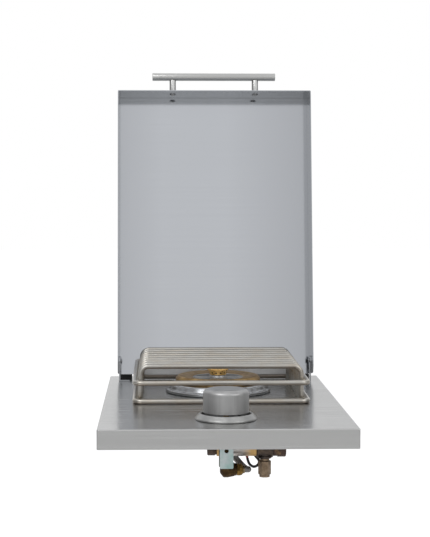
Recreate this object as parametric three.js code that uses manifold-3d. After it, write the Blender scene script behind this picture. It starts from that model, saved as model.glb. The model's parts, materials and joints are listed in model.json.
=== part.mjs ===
// A built in side burner for an outdoor kitchen, in millimetres, +Z up.
// x runs across the deck, y from its front edge to its back, and z up from its top face.
// At the end the whole group is moved so that its origin is where the deck's front rests.

import * as THREE from "three";
import { mergeVertices } from "three/addons/utils/BufferGeometryUtils.js";
import Module from "manifold-3d";

const wasm = await Module();
wasm.setup();

// Gaps, overruns and roundness, shared by all pieces
const seatGap = 0.3;
const runGap = 0.3;
const cutOverrun = 6;
const mergeDistance = 0.0005;
const rodSides = 12;
const screwSides = 10;
const tubeSides = 12;
const roundSides = 32;
const wideSides = 48;
const cornerSteps = 3;
const bendSteps = 4;

// Deck, bent from one sheet
const deckWidth = 325;
const deckDepth = 508;
const deckSheet = 1.2;
const deckCorner = 2.5;
const deckBend = 1.2;
const apronHeight = 25;
const returnWidth = 16;
const deckStudRadius = 2;
const deckStudLength = 7;

// Lid, bent from one sheet and turning on two pins
const lidSideSetback = 14;
const lidWidth = deckWidth - 2 * lidSideSetback;
const lidSheet = 1.2;
const lidCorner = 1.8;
const lidBend = 1.2;
const lidFlange = 55.5;
const lidFrontSetback = 37.5;
const lidRearSetback = 36;
const lidLength = deckDepth - lidFrontSetback - lidRearSetback;
const lidFloat = 0.4;
const lidOpenAngle = THREE.MathUtils.degToRad(98);
const pivotHeight = 31;
const pivotFromRear = 20.3;
const hemWidth = 8;
const hemSheet = 1.5;
const hemOverhang = 1.2;
const hemEndClearance = 22.3;
const hemLength = lidWidth - 2 * lidSheet - 2 * hemEndClearance;
const rivetRadius = 1.6;
const rivetHeadRadius = 2.6;
const rivetHeadHeight = 1;
const rivetOuterPlace = 86;
const rivetInnerPlace = 62;

// Hinge brackets, pins and stop pads, on the deck inside the lid's sides
const earSheet = 2;
const earRadius = 7;
const footLength = 14;
const pinRadius = 3;
const pinHeadRadius = 4;
const pinHeadHeight = 1;
const footRivetRadius = 2.5;
const footRivetHeadRadius = 4.2;
const footRivetHeadHeight = 1.4;
const padWidth = 19;
const padDepth = 12;
const padSideGap = 0.8;

// Lid handle
const barRadius = 6;
const barLength = 191;
const barStandoff = 26.5;
const barEndRound = 0.8;
const postRadius = 5;
const postInset = 31.5;
const postSpacing = barLength - 2 * postInset;
const handleScrewRadius = 2.5;
const handleScrewHeadRadius = 4.5;
const handleScrewHeadHeight = 1.6;
const handleScrewReach = 11;

// Grate, welded from round rod
const grateRod = 3.6;
const grateSideClearance = 24.7;
const grateWidth = lidWidth - 2 * (lidSheet + grateSideClearance + grateRod);
const grateLidClearance = 4.3;
const grateKnobClearance = 86.1;
const grateCorner = 10;
const grateRingRise = 25.1;
const grateTop = 48.9;
const grateBend = 11;
const grateRods = 9;
const grateEndInset = 25.5;

// Burner, centred on the grate
const galleryOuter = 59;
const galleryTop = 13.7;
const galleryWall = 4.5;
const galleryFloor = 6;
const spigotRadius = 44;
const deckHoleMargin = 12;
const deckBurnerHole = spigotRadius + deckHoleMargin;
const dishSheet = 1;
const dishHole = spigotRadius + 2 * dishSheet;
const dishTopWidth = 12.2;
const dishCorner = 0.9;
const dishFlare = 2.7;
const dishLip = 2.4;
const dishLipRise = 2.4;
const spigotWall = 4;
const spigotDepth = 20;
const hubRadius = 13;
const hubBore = 6;
const hubTop = 23.8;
const hubRoof = 5;
const burnerArms = 4;
const armHubWidth = 22;
const armRimWidth = 29;
const armBottom = 8;
const armTop = 20.4;
const rimHeight = 21.3;
const rimWall = 2.2;
const ringOverhang = 2.5;
const ringOuter = galleryOuter + ringOverhang;
const ringInner = 37;
const ringHeight = 10;
const ringEdgeHeight = 5.5;
const ringShoulder = 3.5;
const ringCrownInset = 6.5;
const ringDish = 2.4;
const ringLip = 1;
const ringPorts = 24;
const ringPortWidth = 2.4;
const ringPortHeight = 2.2;
const ringPortDepth = 3.5;
const capBaseRadius = 11.5;
const capTopRadius = 15.4;
const capHeight = 9.3;
const capRimHeight = 2.4;
const capDimple = 1;
const capPorts = 12;
const capPortRadius = 1.1;
const capPortDepth = 4;

// Strap, jet and jet holder under the burner
const strapWidth = 50;
const strapSheet = 1.5;
const strapRiserPlace = 74;
const strapFoot = 16;
const strapStudPlace = 83;
const strapHole = 4.8;
const nutRadius = 4;
const nutHeight = 3.2;
const holderRadius = 15;
const holderHeight = 14;
const holderBossRadius = 4.5;
const holderInletRadius = 6.5;
const holderInletLength = 15;
const jetShankRadius = 2.9;
const jetShankLength = 7;
const jetHexRadius = 5.5;
const jetHexHeight = 3;
const jetHeight = 8;
const jetTipRadius = 1.8;

// Igniter: electrode beside the brass ring, module beside the valve, lead between them
const electrodeAngle = THREE.MathUtils.degToRad(45);
const electrodeRadius = 3;
const electrodeClearance = 0.7;
const electrodePlace = ringOuter + electrodeRadius + electrodeClearance;
const electrodeBottom = -14;
const electrodeTop = 15;
const electrodeFlangeRadius = 4.2;
const electrodeFlangeHeight = 1.4;
const tipRadius = 0.9;
const tipHeight = 4;
const leadRadius = 1.8;
const moduleWidth = 15;
const moduleDepth = 22;
const moduleHeight = 17;

// Knob, bezel and stem, all on one upright axis
const knobRadius = 30;
const knobHeight = 31;
const knobLift = 9;
const knobChamfer = 3.4;
const knobBevelDrop = 3.2;
const knobBevelInset = 0.8;
const knobWall = 3;
const knobRoof = 5;
const knobHubRadius = 8;
const knobHubLift = 3;
const knobMarkLength = 9;
const knobMarkWidth = 1.6;
const knobMarkDepth = 0.6;
const bezelFootRadius = 39.8;
const bezelLidClearance = 0.5;
const knobSetback = lidFrontSetback + lidSheet + bezelLidClearance + bezelFootRadius;
const bezelTopRadius = 34;
const bezelMouth = 32;
const bezelHeight = 8.3;
const bezelFloor = 2;
const bezelFloorHole = 14;
const bezelScrewCircle = 22;
const bezelScrewAngle = THREE.MathUtils.degToRad(30);
const bezelScrewRadius = 1.5;
const bezelScrewHeadRadius = 3.2;
const bezelScrewHeadHeight = 1.8;
const bezelScrewTail = 3;
const stemRadius = 4;
const stemTop = 30;
const stemBottom = -48;
const stemFlat = 1.2;
const stemFlatLength = 18;
const stemHole = 11.5;
const clipRadius = 6;
const clipHeight = 1;
const clipDrop = 3;
const seatRadius = 8.8;
const seatHeight = 1.2;
const springRadius = 6.8;
const springWire = 0.8;
const springTurns = 5;
const springSides = 5;
const springStepsPerTurn = 8;

// Valve and its zinc bracket
const valveRadius = 9.2;
const valveTop = -24;
const valveFlangeRadius = 19.6;
const valveFlangeHeight = 4;
const valveBottom = -62;
const valveBore = 4.4;
const valveScrewCircle = 15.6;
const valveScrewRadius = 2;
const valveScrewHeadRadius = 3.2;
const valveScrewHeadHeight = 2.4;
const outletDrop = 65;
const outletRadius = 10.4;
const outletLeft = -7.7;
const outletRight = 13.4;
const outletChamfer = 4.4;
const outletNoseRadius = 4.5;
const outletTaperStart = 3;
const outletMouthRadius = 8.3;
const outletNutRadius = 8.4;
const outletNutEndRadius = 5.8;
const outletNutLength = 8;
const sleeveRadius = 5.2;
const sleeveLength = 2;
const spigotPipeRadius = 7;
const bracketLeft = -8.6;
const bracketRight = 8.8;
const bracketSheet = 1.5;
const bracketBottom = -61.2;
const bracketAheadOfStem = 16.5;
const bracketTopLeft = -25;
const bracketTopRight = 38;
const bracketTopBehindStem = 19;
const bracketStemHole = 12.5;
const bracketHoleRadius = 2.9;
const bracketHoleDrop = 38.4;
const bracketCorner = 0.8;

// Manifold pipe across the front, with its fittings
const pipeBehindStem = 25;
const pipeDrop = 42.8;
const pipeRadius = 9.5;
const pipeWall = 2;
const pipeLeft = -11;
const plugLength = 12;
const plugRadius = 8.6;
const teeLeft = 41;
const teeRight = 62;
const teeRadius = 11.5;
const teeBranchRadius = 9;
const teeBranchDrop = 55;
const endFittingRight = 79;
const endFittingRadius = 10.6;
const inletRadius = 8.4;
const inletNeckRadius = 6.2;
const inletNeckLength = 3;
const inletBottom = 79.7;
const inletBore = 4.4;
const inletChamfer = 1.5;

// Feed tube from the valve's outlet to the jet holder
const feedRadius = 4.2;
const feedNutRadius = 8;
const feedNutLength = 12;
const feedTurnReach = 15;
const feedTurnDepth = 24;
const feedTurnDrop = 2.4;
const feedStraight = 53;
const feedEntry = 3;
const feedStepsPerPoint = 3;
const feedSides = 8;
const leadStepsPerPoint = 2;
const leadSides = 6;

// Places worked out from the sizes above
const pivotSetback = lidFrontSetback + lidLength - pivotFromRear;
const lidEdgeBelowPivot = pivotHeight - lidFloat;
const lidTopAbovePivot = lidFlange - lidEdgeBelowPivot;
const grateFront = knobSetback + bezelFootRadius + grateKnobClearance;
const grateBack = pivotSetback + lidTopAbovePivot - lidSheet - grateLidClearance;
const grateDepth = grateBack - grateFront - 2 * grateRod;
const grateRodPitch = (grateDepth - 2 * grateEndInset) / (grateRods - 1);
const burnerSetback = (grateFront + grateBack) / 2;
const pipeSetback = knobSetback + pipeBehindStem;
const bracketFront = knobSetback - bracketAheadOfStem;
const bracketTopRear = knobSetback + bracketTopBehindStem;
const lidFrontFromPivot = lidLength - pivotFromRear;
const grateFloor = seatGap;
const lowerRingHeight = grateFloor + grateRod;
const upperRingHeight = lowerRingHeight + grateRingRise;
const dishFloorTop = seatGap + dishSheet;
const dishNeck = galleryOuter + seatGap;
const galleryBottom = dishFloorTop + seatGap;
const ringBottom = galleryTop + seatGap;
const strapTop = -(spigotDepth + seatGap);
const strapBottom = strapTop - strapSheet;
const holderTop = strapBottom - seatGap;
const holderInletDrop = -holderTop + holderHeight / 2;
const bracketTop = -(deckSheet + seatGap);
const bracketUnder = bracketTop - bracketSheet;
const seatTop = -clipDrop;
const springTop = seatTop - seatHeight - seatGap;
const springBottom = valveTop + valveFlangeHeight + seatGap;
const outletNutLeft = outletRight + seatGap;
const sleeveLeft = outletNutLeft + outletNutLength + seatGap;
const teeCentre = (teeLeft + teeRight) / 2;
const X = new THREE.Vector3(1, 0, 0);
const Y = new THREE.Vector3(0, 1, 0);
const Z = new THREE.Vector3(0, 0, 1);
const sides = [["left", -1], ["right", 1]];

// Materials
function finish(color, roughness, metalness) {
  return new THREE.MeshStandardMaterial({ color, roughness, metalness });
}
const brushedSteel = finish(0xb4b4b2, 0.36, 1);
const rodSteel = finish(0xb0aca3, 0.34, 1);
const chrome = finish(0xd4d6d8, 0.12, 1);
const castAluminium = finish(0x8f9396, 0.55, 0.9);
const brass = finish(0xa77f42, 0.38, 1);
const brightBrass = finish(0xd8a54a, 0.28, 1);
const agedBrass = finish(0x6e5433, 0.5, 0.9);
const darkFitting = finish(0x4a4038, 0.55, 0.8);
const zinc = finish(0xb9cfc8, 0.4, 0.9);
const greyPipe = finish(0x9a958b, 0.5, 0.8);
const blackRubber = finish(0x141414, 0.8, 0);
const blackPlastic = finish(0x1c1c1c, 0.5, 0);
const porcelain = finish(0xe8e4d8, 0.25, 0);
const springSteel = finish(0x9a9c9e, 0.3, 1);

// Turns a closed geometry into a solid that can be joined and cut.
function solid(geometry) {
  const loose = geometry.index ? geometry.toNonIndexed() : geometry.clone();
  loose.deleteAttribute("normal");
  loose.deleteAttribute("uv");
  const merged = mergeVertices(loose, mergeDistance);
  const vertProperties = merged.attributes.position.array;
  const triVerts = new Uint32Array(merged.index.array);
  const made = new wasm.Manifold(new wasm.Mesh({ numProp: 3, vertProperties, triVerts }));
  if (made.volume() > 0) return made;
  for (let i = 0; i < triVerts.length; i += 3) {
    [triVerts[i + 1], triVerts[i + 2]] = [triVerts[i + 2], triVerts[i + 1]];
  }
  return new wasm.Manifold(new wasm.Mesh({ numProp: 3, vertProperties, triVerts }));
}

function join(first, ...others) {
  return others.reduce((whole, other) => whole.add(other), first);
}

function cut(first, ...others) {
  return others.reduce((whole, other) => whole.subtract(other), first);
}

function geometryOf(shape) {
  const { vertProperties, triVerts } = shape.getMesh();
  const indexed = new THREE.BufferGeometry();
  indexed.setAttribute("position", new THREE.BufferAttribute(Float32Array.from(vertProperties), 3));
  indexed.setIndex(new THREE.BufferAttribute(Uint32Array.from(triVerts), 1));
  const flat = indexed.toNonIndexed();
  flat.computeVertexNormals();
  return flat;
}

function piece(parent, name, shape, material) {
  const mesh = new THREE.Mesh(geometryOf(shape), material);
  mesh.name = name;
  parent.add(mesh);
}

// A box between two opposite corners.
function block(x0, x1, y0, y1, z0, z1) {
  const box = new THREE.BoxGeometry(x1 - x0, y1 - y0, z1 - z0);
  return solid(box.translate((x0 + x1) / 2, (y0 + y1) / 2, (z0 + z1) / 2));
}

// A round or many-sided bar between two points.
function bar(from, to, radius, count = screwSides) {
  const along = to.clone().sub(from);
  const cylinder = new THREE.CylinderGeometry(radius, radius, along.length(), count);
  const turn = new THREE.Quaternion().setFromUnitVectors(Y, along.clone().normalize());
  cylinder.applyQuaternion(turn);
  cylinder.translate(...from.clone().add(to).multiplyScalar(1 / 2).toArray());
  return solid(cylinder);
}

function uprightBar(x, y, z0, z1, radius, count) {
  return bar(new THREE.Vector3(x, y, z0), new THREE.Vector3(x, y, z1), radius, count);
}

function crossBar(x0, x1, y, z, radius, count) {
  return bar(new THREE.Vector3(x0, y, z), new THREE.Vector3(x1, y, z), radius, count);
}

function depthBar(x, y0, y1, z, radius, count) {
  return bar(new THREE.Vector3(x, y0, z), new THREE.Vector3(x, y1, z), radius, count);
}

// A piece turned round an upright axis from a closed profile of radius and height pairs.
function turned(profile, count = roundSides, x = 0, y = 0) {
  const closed = [...profile, profile[0]].map(([r, z]) => new THREE.Vector2(r, z));
  const lathe = new THREE.LatheGeometry(closed, count);
  lathe.rotateX(Math.PI / 2);
  return solid(lathe.translate(x, y, 0));
}

// The same, turned round an axis that runs along x.
function turnedAlongX(profile, y, z, count = roundSides) {
  const closed = [...profile, profile[0]].map(([r, along]) => new THREE.Vector2(r, along));
  const lathe = new THREE.LatheGeometry(closed, count);
  lathe.rotateZ(-Math.PI / 2);
  return solid(lathe.translate(0, y, z));
}

function outline(...points) {
  return new THREE.Shape(points.map(([a, b]) => new THREE.Vector2(a, b)));
}

// A rectangle with round corners, centred on x, with its front side at the given y.
function roundedRectangle(width, depth, radius, front = 0) {
  const half = width / 2;
  const back = front + depth;
  const quarter = Math.PI / 2;
  const shape = new THREE.Shape();
  shape.absarc(half - radius, front + radius, radius, -quarter, 0);
  shape.absarc(half - radius, back - radius, radius, 0, quarter);
  shape.absarc(radius - half, back - radius, radius, quarter, Math.PI);
  shape.absarc(radius - half, front + radius, radius, Math.PI, Math.PI + quarter);
  return shape;
}

function slab(shape, z0, z1) {
  const options = { depth: z1 - z0, bevelEnabled: false, curveSegments: cornerSteps };
  return solid(new THREE.ExtrudeGeometry(shape, options).translate(0, 0, z0));
}

// A plate whose outline is drawn in y and z, standing between two x places.
function sidePlate(shape, x0, x1, curveSegments) {
  const options = { depth: x1 - x0, bevelEnabled: false, curveSegments };
  const plate = new THREE.ExtrudeGeometry(shape, options);
  plate.applyMatrix4(new THREE.Matrix4().makeBasis(Y, Z, X));
  return solid(plate.translate(x0, 0, 0));
}

// The outside of a tray bent from sheet: top face at z 0, with its upper edges rounded.
function trayOutside(width, depth, height, corner, bend) {
  const shape = roundedRectangle(width - 2 * bend, depth - 2 * bend, corner - bend, bend);
  const options = {
    depth: height,
    bevelThickness: bend,
    bevelSize: bend,
    bevelSegments: 2,
    curveSegments: cornerSteps,
  };
  const full = new THREE.ExtrudeGeometry(shape, options).translate(0, 0, -height - bend);
  const half = width / 2 + cutOverrun;
  const waste = block(-half, half, -cutOverrun, depth + cutOverrun, -height - cutOverrun, -height);
  return solid(full).subtract(waste);
}

// A centre line of straight runs and round bends, with stations only where it starts, bends and ends.
class BentLine extends THREE.Curve {
  constructor(corners, radius) {
    super();
    this.stations = [];
    corners.forEach((corner, i) => this.addCorner(corners, corner, i, radius));
  }

  addCorner(corners, corner, i, radius) {
    const before = corners[i - 1];
    const after = corners[i + 1];
    const arriving = before && corner.clone().sub(before).normalize();
    const leaving = after && after.clone().sub(corner).normalize();
    if (!before || !after) {
      this.stations.push({ point: corner, tangent: leaving || arriving });
      return;
    }
    const centre = corner.clone().addScaledVector(arriving, -radius).addScaledVector(leaving, radius);
    for (let step = 0; step <= bendSteps; step += 1) {
      const angle = (step / bendSteps) * (Math.PI / 2);
      const point = centre.clone();
      point.addScaledVector(leaving, -radius * Math.cos(angle));
      point.addScaledVector(arriving, radius * Math.sin(angle));
      const tangent = arriving.clone().multiplyScalar(Math.cos(angle));
      tangent.addScaledVector(leaving, Math.sin(angle));
      this.stations.push({ point, tangent });
    }
  }

  getPoint(t) {
    const last = this.stations.length - 1;
    return this.stations[Math.round(t * last)].point.clone();
  }

  getPointAt(t) {
    return this.getPoint(t);
  }

  getTangentAt(t) {
    const last = this.stations.length - 1;
    return this.stations[Math.round(t * last)].tangent.clone();
  }
}

// A rod or tube of a regular section, pushed along a centre line.
function along(curve, radius, count, steps) {
  const corners = [];
  for (let i = 0; i < count; i += 1) {
    const angle = (i / count) * 2 * Math.PI;
    corners.push([radius * Math.cos(angle), radius * Math.sin(angle)]);
  }
  const options = { extrudePath: curve, steps, bevelEnabled: false };
  return solid(new THREE.ExtrudeGeometry(outline(...corners), options));
}

// A smooth line through hand-placed points, with its stations spread evenly between them.
class HandRoute extends THREE.CatmullRomCurve3 {
  getPointAt(t) {
    return this.getPoint(t);
  }

  getTangentAt(t) {
    return this.getTangent(t);
  }
}

function routed(route, radius, count, stepsPerPoint) {
  const line = new HandRoute(route.map((point) => new THREE.Vector3(...point)));
  return along(line, radius, count, (route.length - 1) * stepsPerPoint);
}

function bentRod(corners, bend, radius) {
  const line = new BentLine(corners.map((corner) => new THREE.Vector3(...corner)), bend);
  return along(line, radius, rodSides, line.stations.length - 1);
}

// Deck panel, with its cut-outs and the studs welded under it

// Two places across a circle round the knob's axis, for the screws through bezel and deck.
function bezelScrewPlaces() {
  const x = bezelScrewCircle * Math.cos(bezelScrewAngle);
  const y = bezelScrewCircle * Math.sin(bezelScrewAngle);
  return [["right", x, y], ["left", -x, -y]];
}

const electrodeX = electrodePlace * Math.cos(electrodeAngle);
const electrodeY = burnerSetback + electrodePlace * Math.sin(electrodeAngle);

function footRivetPlace(sign) {
  const earInside = lidWidth / 2 - lidSheet - runGap - earSheet;
  return sign * (earInside - footLength / 2);
}

function deckPanel() {
  const inner = roundedRectangle(
    deckWidth - 2 * deckSheet, deckDepth - 2 * deckSheet, deckCorner - deckSheet, deckSheet);
  const window = roundedRectangle(
    deckWidth - 2 * returnWidth, deckDepth - 2 * returnWidth, deckCorner, returnWidth);
  const cavity = slab(inner, -(apronHeight - deckSheet), -deckSheet);
  const opening = slab(window, -apronHeight - cutOverrun, -apronHeight + deckSheet + cutOverrun);
  let panel = cut(trayOutside(deckWidth, deckDepth, apronHeight, deckCorner, deckBend), cavity, opening);
  for (const [, sign] of sides) {
    const x = sign * strapStudPlace;
    const bottom = -deckSheet - deckStudLength;
    panel = panel.add(uprightBar(x, burnerSetback, bottom, -deckSheet / 2, deckStudRadius));
  }
  const down = -deckSheet - cutOverrun;
  panel = cut(
    panel,
    uprightBar(0, burnerSetback, down, cutOverrun, deckBurnerHole, wideSides),
    uprightBar(0, knobSetback, down, cutOverrun, stemHole, roundSides),
    uprightBar(electrodeX, electrodeY, down, cutOverrun, electrodeRadius + runGap),
  );
  const screwWays = bezelScrewPlaces().map(([, x, y]) => uprightBar(
    x, knobSetback + y, down, cutOverrun, bezelScrewRadius + seatGap));
  const rivetWays = sides.map(([, sign]) => uprightBar(
    footRivetPlace(sign), pivotSetback, down, cutOverrun, footRivetRadius + seatGap));
  return cut(panel, ...screwWays, ...rivetWays);
}

// Hinge brackets, each riveted through the deck by its foot, their pins, and the stop pads

function hingeBracket(sign) {
  const outside = lidWidth / 2 - lidSheet - runGap;
  const inside = outside - earSheet;
  const shape = new THREE.Shape();
  shape.moveTo(pivotSetback + earRadius, seatGap);
  shape.absarc(pivotSetback, pivotHeight, earRadius, 0, Math.PI);
  shape.lineTo(pivotSetback - earRadius, seatGap);
  const xs = [sign * outside, sign * inside].sort((a, b) => a - b);
  const ear = sidePlate(shape, xs[0], xs[1], screwSides / 2);
  const feet = [sign * outside, sign * (inside - footLength)].sort((a, b) => a - b);
  const front = pivotSetback - earRadius;
  const back = pivotSetback + earRadius;
  const foot = block(feet[0], feet[1], front, back, seatGap, seatGap + earSheet);
  const x = footRivetPlace(sign);
  const under = -deckSheet - seatGap;
  const rivet = join(
    uprightBar(x, pivotSetback, under, seatGap + earSheet / 2, footRivetRadius),
    uprightBar(x, pivotSetback, under - footRivetHeadHeight, under, footRivetHeadRadius),
  );
  const reach = lidWidth / 2;
  const pinWay = crossBar(-reach, reach, pivotSetback, pivotHeight, pinRadius + seatGap);
  return cut(join(ear, foot, rivet), pinWay);
}

// The pin's outer end lies flush with the lid's side, and its head is inside the bracket.
function hingePin(sign) {
  const end = lidWidth / 2 - seatGap;
  const inside = lidWidth / 2 - lidSheet - runGap - earSheet - seatGap;
  const shank = crossBar(sign * end, sign * inside, pivotSetback, pivotHeight, pinRadius);
  const head = crossBar(
    sign * inside, sign * (inside - pinHeadHeight), pivotSetback, pivotHeight, pinHeadRadius);
  return join(shank, head);
}

// The lower corner of the open lid, where the plate's rear edge comes down on the pads.
const padSetback = pivotSetback
  + pivotFromRear * Math.cos(lidOpenAngle) + lidTopAbovePivot * Math.sin(lidOpenAngle);
const padTop = pivotHeight - seatGap
  - pivotFromRear * Math.sin(lidOpenAngle) + lidTopAbovePivot * Math.cos(lidOpenAngle);

function stopPad(sign) {
  const outside = lidWidth / 2 - lidSheet - padSideGap;
  const xs = [sign * outside, sign * (outside - padWidth)].sort((a, b) => a - b);
  const front = padSetback - padDepth / 2;
  return block(xs[0], xs[1], front, front + padDepth, seatGap, padTop);
}

// Grate

function grateRing(height) {
  const half = grateWidth / 2;
  const front = burnerSetback - grateDepth / 2;
  const back = burnerSetback + grateDepth / 2;
  const overlap = grateRod;
  const frontHalf = [
    [-half, burnerSetback + overlap, height],
    [-half, front, height],
    [half, front, height],
    [half, burnerSetback + overlap, height],
  ];
  const backHalf = [
    [half, burnerSetback - overlap, height],
    [half, back, height],
    [-half, back, height],
    [-half, burnerSetback - overlap, height],
  ];
  return join(bentRod(frontHalf, grateCorner, grateRod), bentRod(backHalf, grateCorner, grateRod));
}

function grateBow(index) {
  const y = burnerSetback + (index - (grateRods - 1) / 2) * grateRodPitch;
  const half = grateWidth / 2 - 2 * grateRod - seatGap;
  const corners = [
    [-half, y, grateFloor],
    [-half, y, grateTop],
    [half, y, grateTop],
    [half, y, grateFloor],
  ];
  return bentRod(corners, grateBend, grateRod);
}

// Burner, in a group of its own with x and y at its centre

// The dish is a raised collar: a floor that the body stands on, a neck round the body, a flat top
// under the brass ring, and a flared skirt that ends in a lip just above the deck.
function dripDish() {
  const shoulder = dishNeck + dishTopWidth;
  const foot = shoulder + dishFlare;
  const lipTop = dishLipRise + dishSheet;
  const wall = [
    [dishHole, seatGap],
    [dishNeck + dishSheet, seatGap],
    [dishNeck + dishSheet, galleryTop - dishSheet],
    [shoulder - dishCorner, galleryTop - dishSheet],
    [foot - dishSheet, dishLipRise],
    [foot + dishLip, dishLipRise],
    [foot + dishLip, lipTop],
    [foot, lipTop],
    [shoulder + dishSheet / 3, galleryTop - dishCorner],
    [shoulder - dishCorner / 2, galleryTop],
    [dishNeck, galleryTop],
    [dishNeck, dishFloorTop],
    [dishHole, dishFloorTop],
  ];
  const x = electrodePlace * Math.cos(electrodeAngle);
  const y = electrodePlace * Math.sin(electrodeAngle);
  const hole = uprightBar(
    x, y, dishLipRise, galleryTop + cutOverrun, electrodeRadius + runGap, tubeSides);
  return cut(turned(wall, wideSides), hole);
}

// The body's inner rim stands inside the brass ring, and four flared arms join it to the hub.
function burnerBody() {
  const rimOutside = ringInner - seatGap;
  const rimInside = rimOutside - rimWall;
  const shell = [
    [spigotRadius - spigotWall, -spigotDepth],
    [spigotRadius, -spigotDepth],
    [spigotRadius, galleryBottom],
    [galleryOuter, galleryBottom],
    [galleryOuter, galleryTop],
    [galleryOuter - galleryWall, galleryTop],
    [galleryOuter - galleryWall, galleryFloor],
    [spigotRadius, galleryFloor],
    [spigotRadius, galleryTop],
    [rimOutside, galleryTop],
    [rimOutside, rimHeight],
    [rimInside, rimHeight],
    [rimInside, galleryBottom],
    [spigotRadius - spigotWall, galleryBottom - seatGap],
  ];
  const hub = [
    [0, hubTop - hubRoof],
    [hubBore, hubTop - hubRoof - hubBore / 2],
    [hubBore, -spigotDepth],
    [hubRadius, -spigotDepth],
    [hubRadius, hubTop - hubRoof],
    [capBaseRadius, hubTop],
    [0, hubTop],
  ];
  const reach = rimInside + rimWall / 2;
  const nearHub = armHubWidth / 2;
  const nearRim = armRimWidth / 2;
  const arm = outline(
    [-nearHub, 0], [-nearHub, hubRadius], [-nearRim, reach], [nearRim, reach],
    [nearHub, hubRadius], [nearHub, 0]);
  const bore = uprightBar(0, 0, -spigotDepth, hubTop - hubRoof - hubBore / 2, hubBore, roundSides);
  const within = uprightBar(0, 0, -spigotDepth, hubTop, reach, wideSides);
  let body = join(turned(shell, wideSides), turned(hub));
  for (let i = 0; i < burnerArms; i += 1) {
    const options = { depth: armTop - armBottom, bevelEnabled: false };
    const flared = new THREE.ExtrudeGeometry(arm, options).translate(0, 0, armBottom);
    flared.rotateZ((i / burnerArms) * 2 * Math.PI);
    body = body.add(solid(flared).intersect(within).subtract(bore));
  }
  return body;
}

function brassRing() {
  const top = ringBottom + ringHeight;
  const profile = [
    [ringInner, ringBottom],
    [ringOuter, ringBottom],
    [ringOuter, ringBottom + ringEdgeHeight],
    [ringOuter - ringShoulder, top - ringLip / 2],
    [ringOuter - ringCrownInset, top],
    [ringInner + ringLip, top - ringDish],
    [ringInner, top - ringDish - ringLip / 2],
  ];
  let ring = turned(profile, wideSides);
  for (let i = 0; i < ringPorts; i += 1) {
    const slot = new THREE.BoxGeometry(2 * ringPortDepth, ringPortWidth, ringPortHeight);
    slot.translate(ringOuter, 0, ringBottom + ringPortHeight);
    slot.rotateZ(((i + 1 / 2) / ringPorts) * 2 * Math.PI);
    ring = ring.subtract(solid(slot));
  }
  return ring;
}

function brassCap() {
  const bottom = hubTop + seatGap;
  const top = bottom + capHeight;
  const rim = top - capRimHeight;
  const profile = [
    [0, bottom],
    [capBaseRadius, bottom],
    [capTopRadius, rim],
    [capTopRadius, top - capRimHeight / 2],
    [capTopRadius - capRimHeight / 2, top],
    [capTopRadius - capRimHeight, top],
    [0, top - capDimple],
  ];
  let cap = turned(profile, roundSides);
  const middle = (bottom + rim) / 2;
  const wall = (capBaseRadius + capTopRadius) / 2;
  for (let i = 0; i < capPorts; i += 1) {
    const angle = ((i + 1 / 2) / capPorts) * 2 * Math.PI;
    const outwards = new THREE.Vector3(Math.cos(angle), Math.sin(angle), 0);
    const from = outwards.clone().multiplyScalar(wall - capPortDepth);
    const to = outwards.clone().multiplyScalar(wall + capPortDepth);
    from.z = middle;
    to.z = middle;
    cap = cap.subtract(bar(from, to, capPortRadius, rodSides / 2));
  }
  return cap;
}

function burnerStrap() {
  const half = strapWidth / 2;
  const feet = strapRiserPlace + strapFoot;
  let strap = block(-strapRiserPlace, strapRiserPlace, -half, half, strapBottom, strapTop);
  for (const [, sign] of sides) {
    const riser = [sign * strapRiserPlace, sign * (strapRiserPlace - strapSheet)].sort((a, b) => a - b);
    const foot = [sign * (strapRiserPlace - strapSheet), sign * feet].sort((a, b) => a - b);
    strap = join(
      strap,
      block(riser[0], riser[1], -half, half, strapBottom, bracketTop),
      block(foot[0], foot[1], -half, half, bracketUnder, bracketTop),
    );
    strap = strap.subtract(uprightBar(
      sign * strapStudPlace, 0, bracketUnder - cutOverrun, cutOverrun, deckStudRadius + seatGap));
  }
  const hole = uprightBar(0, 0, strapBottom - cutOverrun, cutOverrun, strapHole, roundSides);
  return strap.subtract(hole);
}

// The jet screws down through the strap into the holder, which clamps the strap between them.
function jetHolder() {
  const bottom = holderTop - holderHeight;
  const bossTop = strapTop - seatGap;
  const threadDepth = jetShankLength + 2 * seatGap;
  const profile = [
    [0, bottom],
    [holderRadius, bottom],
    [holderRadius, holderTop],
    [holderBossRadius, holderTop],
    [holderBossRadius, bossTop],
    [jetShankRadius + seatGap, bossTop],
    [jetShankRadius + seatGap, bossTop - threadDepth],
    [0, bossTop - threadDepth],
  ];
  const inletStart = -holderRadius - holderInletLength;
  const inlet = depthBar(0, inletStart, 0, -holderInletDrop, holderInletRadius, roundSides / 2);
  const tubeSeat = depthBar(
    0, inletStart - cutOverrun, -holderRadius, -holderInletDrop, feedRadius + runGap);
  const outside = cut(inlet, turned([[0, bottom], [holderBossRadius, bottom],
    [holderBossRadius, bossTop], [0, bossTop]]));
  return cut(join(turned(profile), outside), tubeSeat);
}

function gasJet() {
  const seat = strapTop + seatGap;
  const top = seat + jetHeight;
  const shank = uprightBar(0, 0, seat - jetShankLength, seat, jetShankRadius);
  const hex = uprightBar(0, 0, seat, seat + jetHexHeight, jetHexRadius, 6);
  const nose = turned([
    [0, seat],
    [jetShankRadius + seatGap, seat],
    [jetShankRadius + seatGap, top - jetHeight / 3],
    [jetTipRadius, top],
    [0, top],
  ], screwSides);
  return join(shank, hex, nose);
}

function strapNut(sign) {
  const x = sign * strapStudPlace;
  const top = bracketUnder - seatGap;
  const way = uprightBar(x, 0, top - nutHeight - cutOverrun, top + cutOverrun, deckStudRadius + seatGap);
  return cut(uprightBar(x, 0, top - nutHeight, top, nutRadius, 6), way);
}

// Igniter parts

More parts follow.
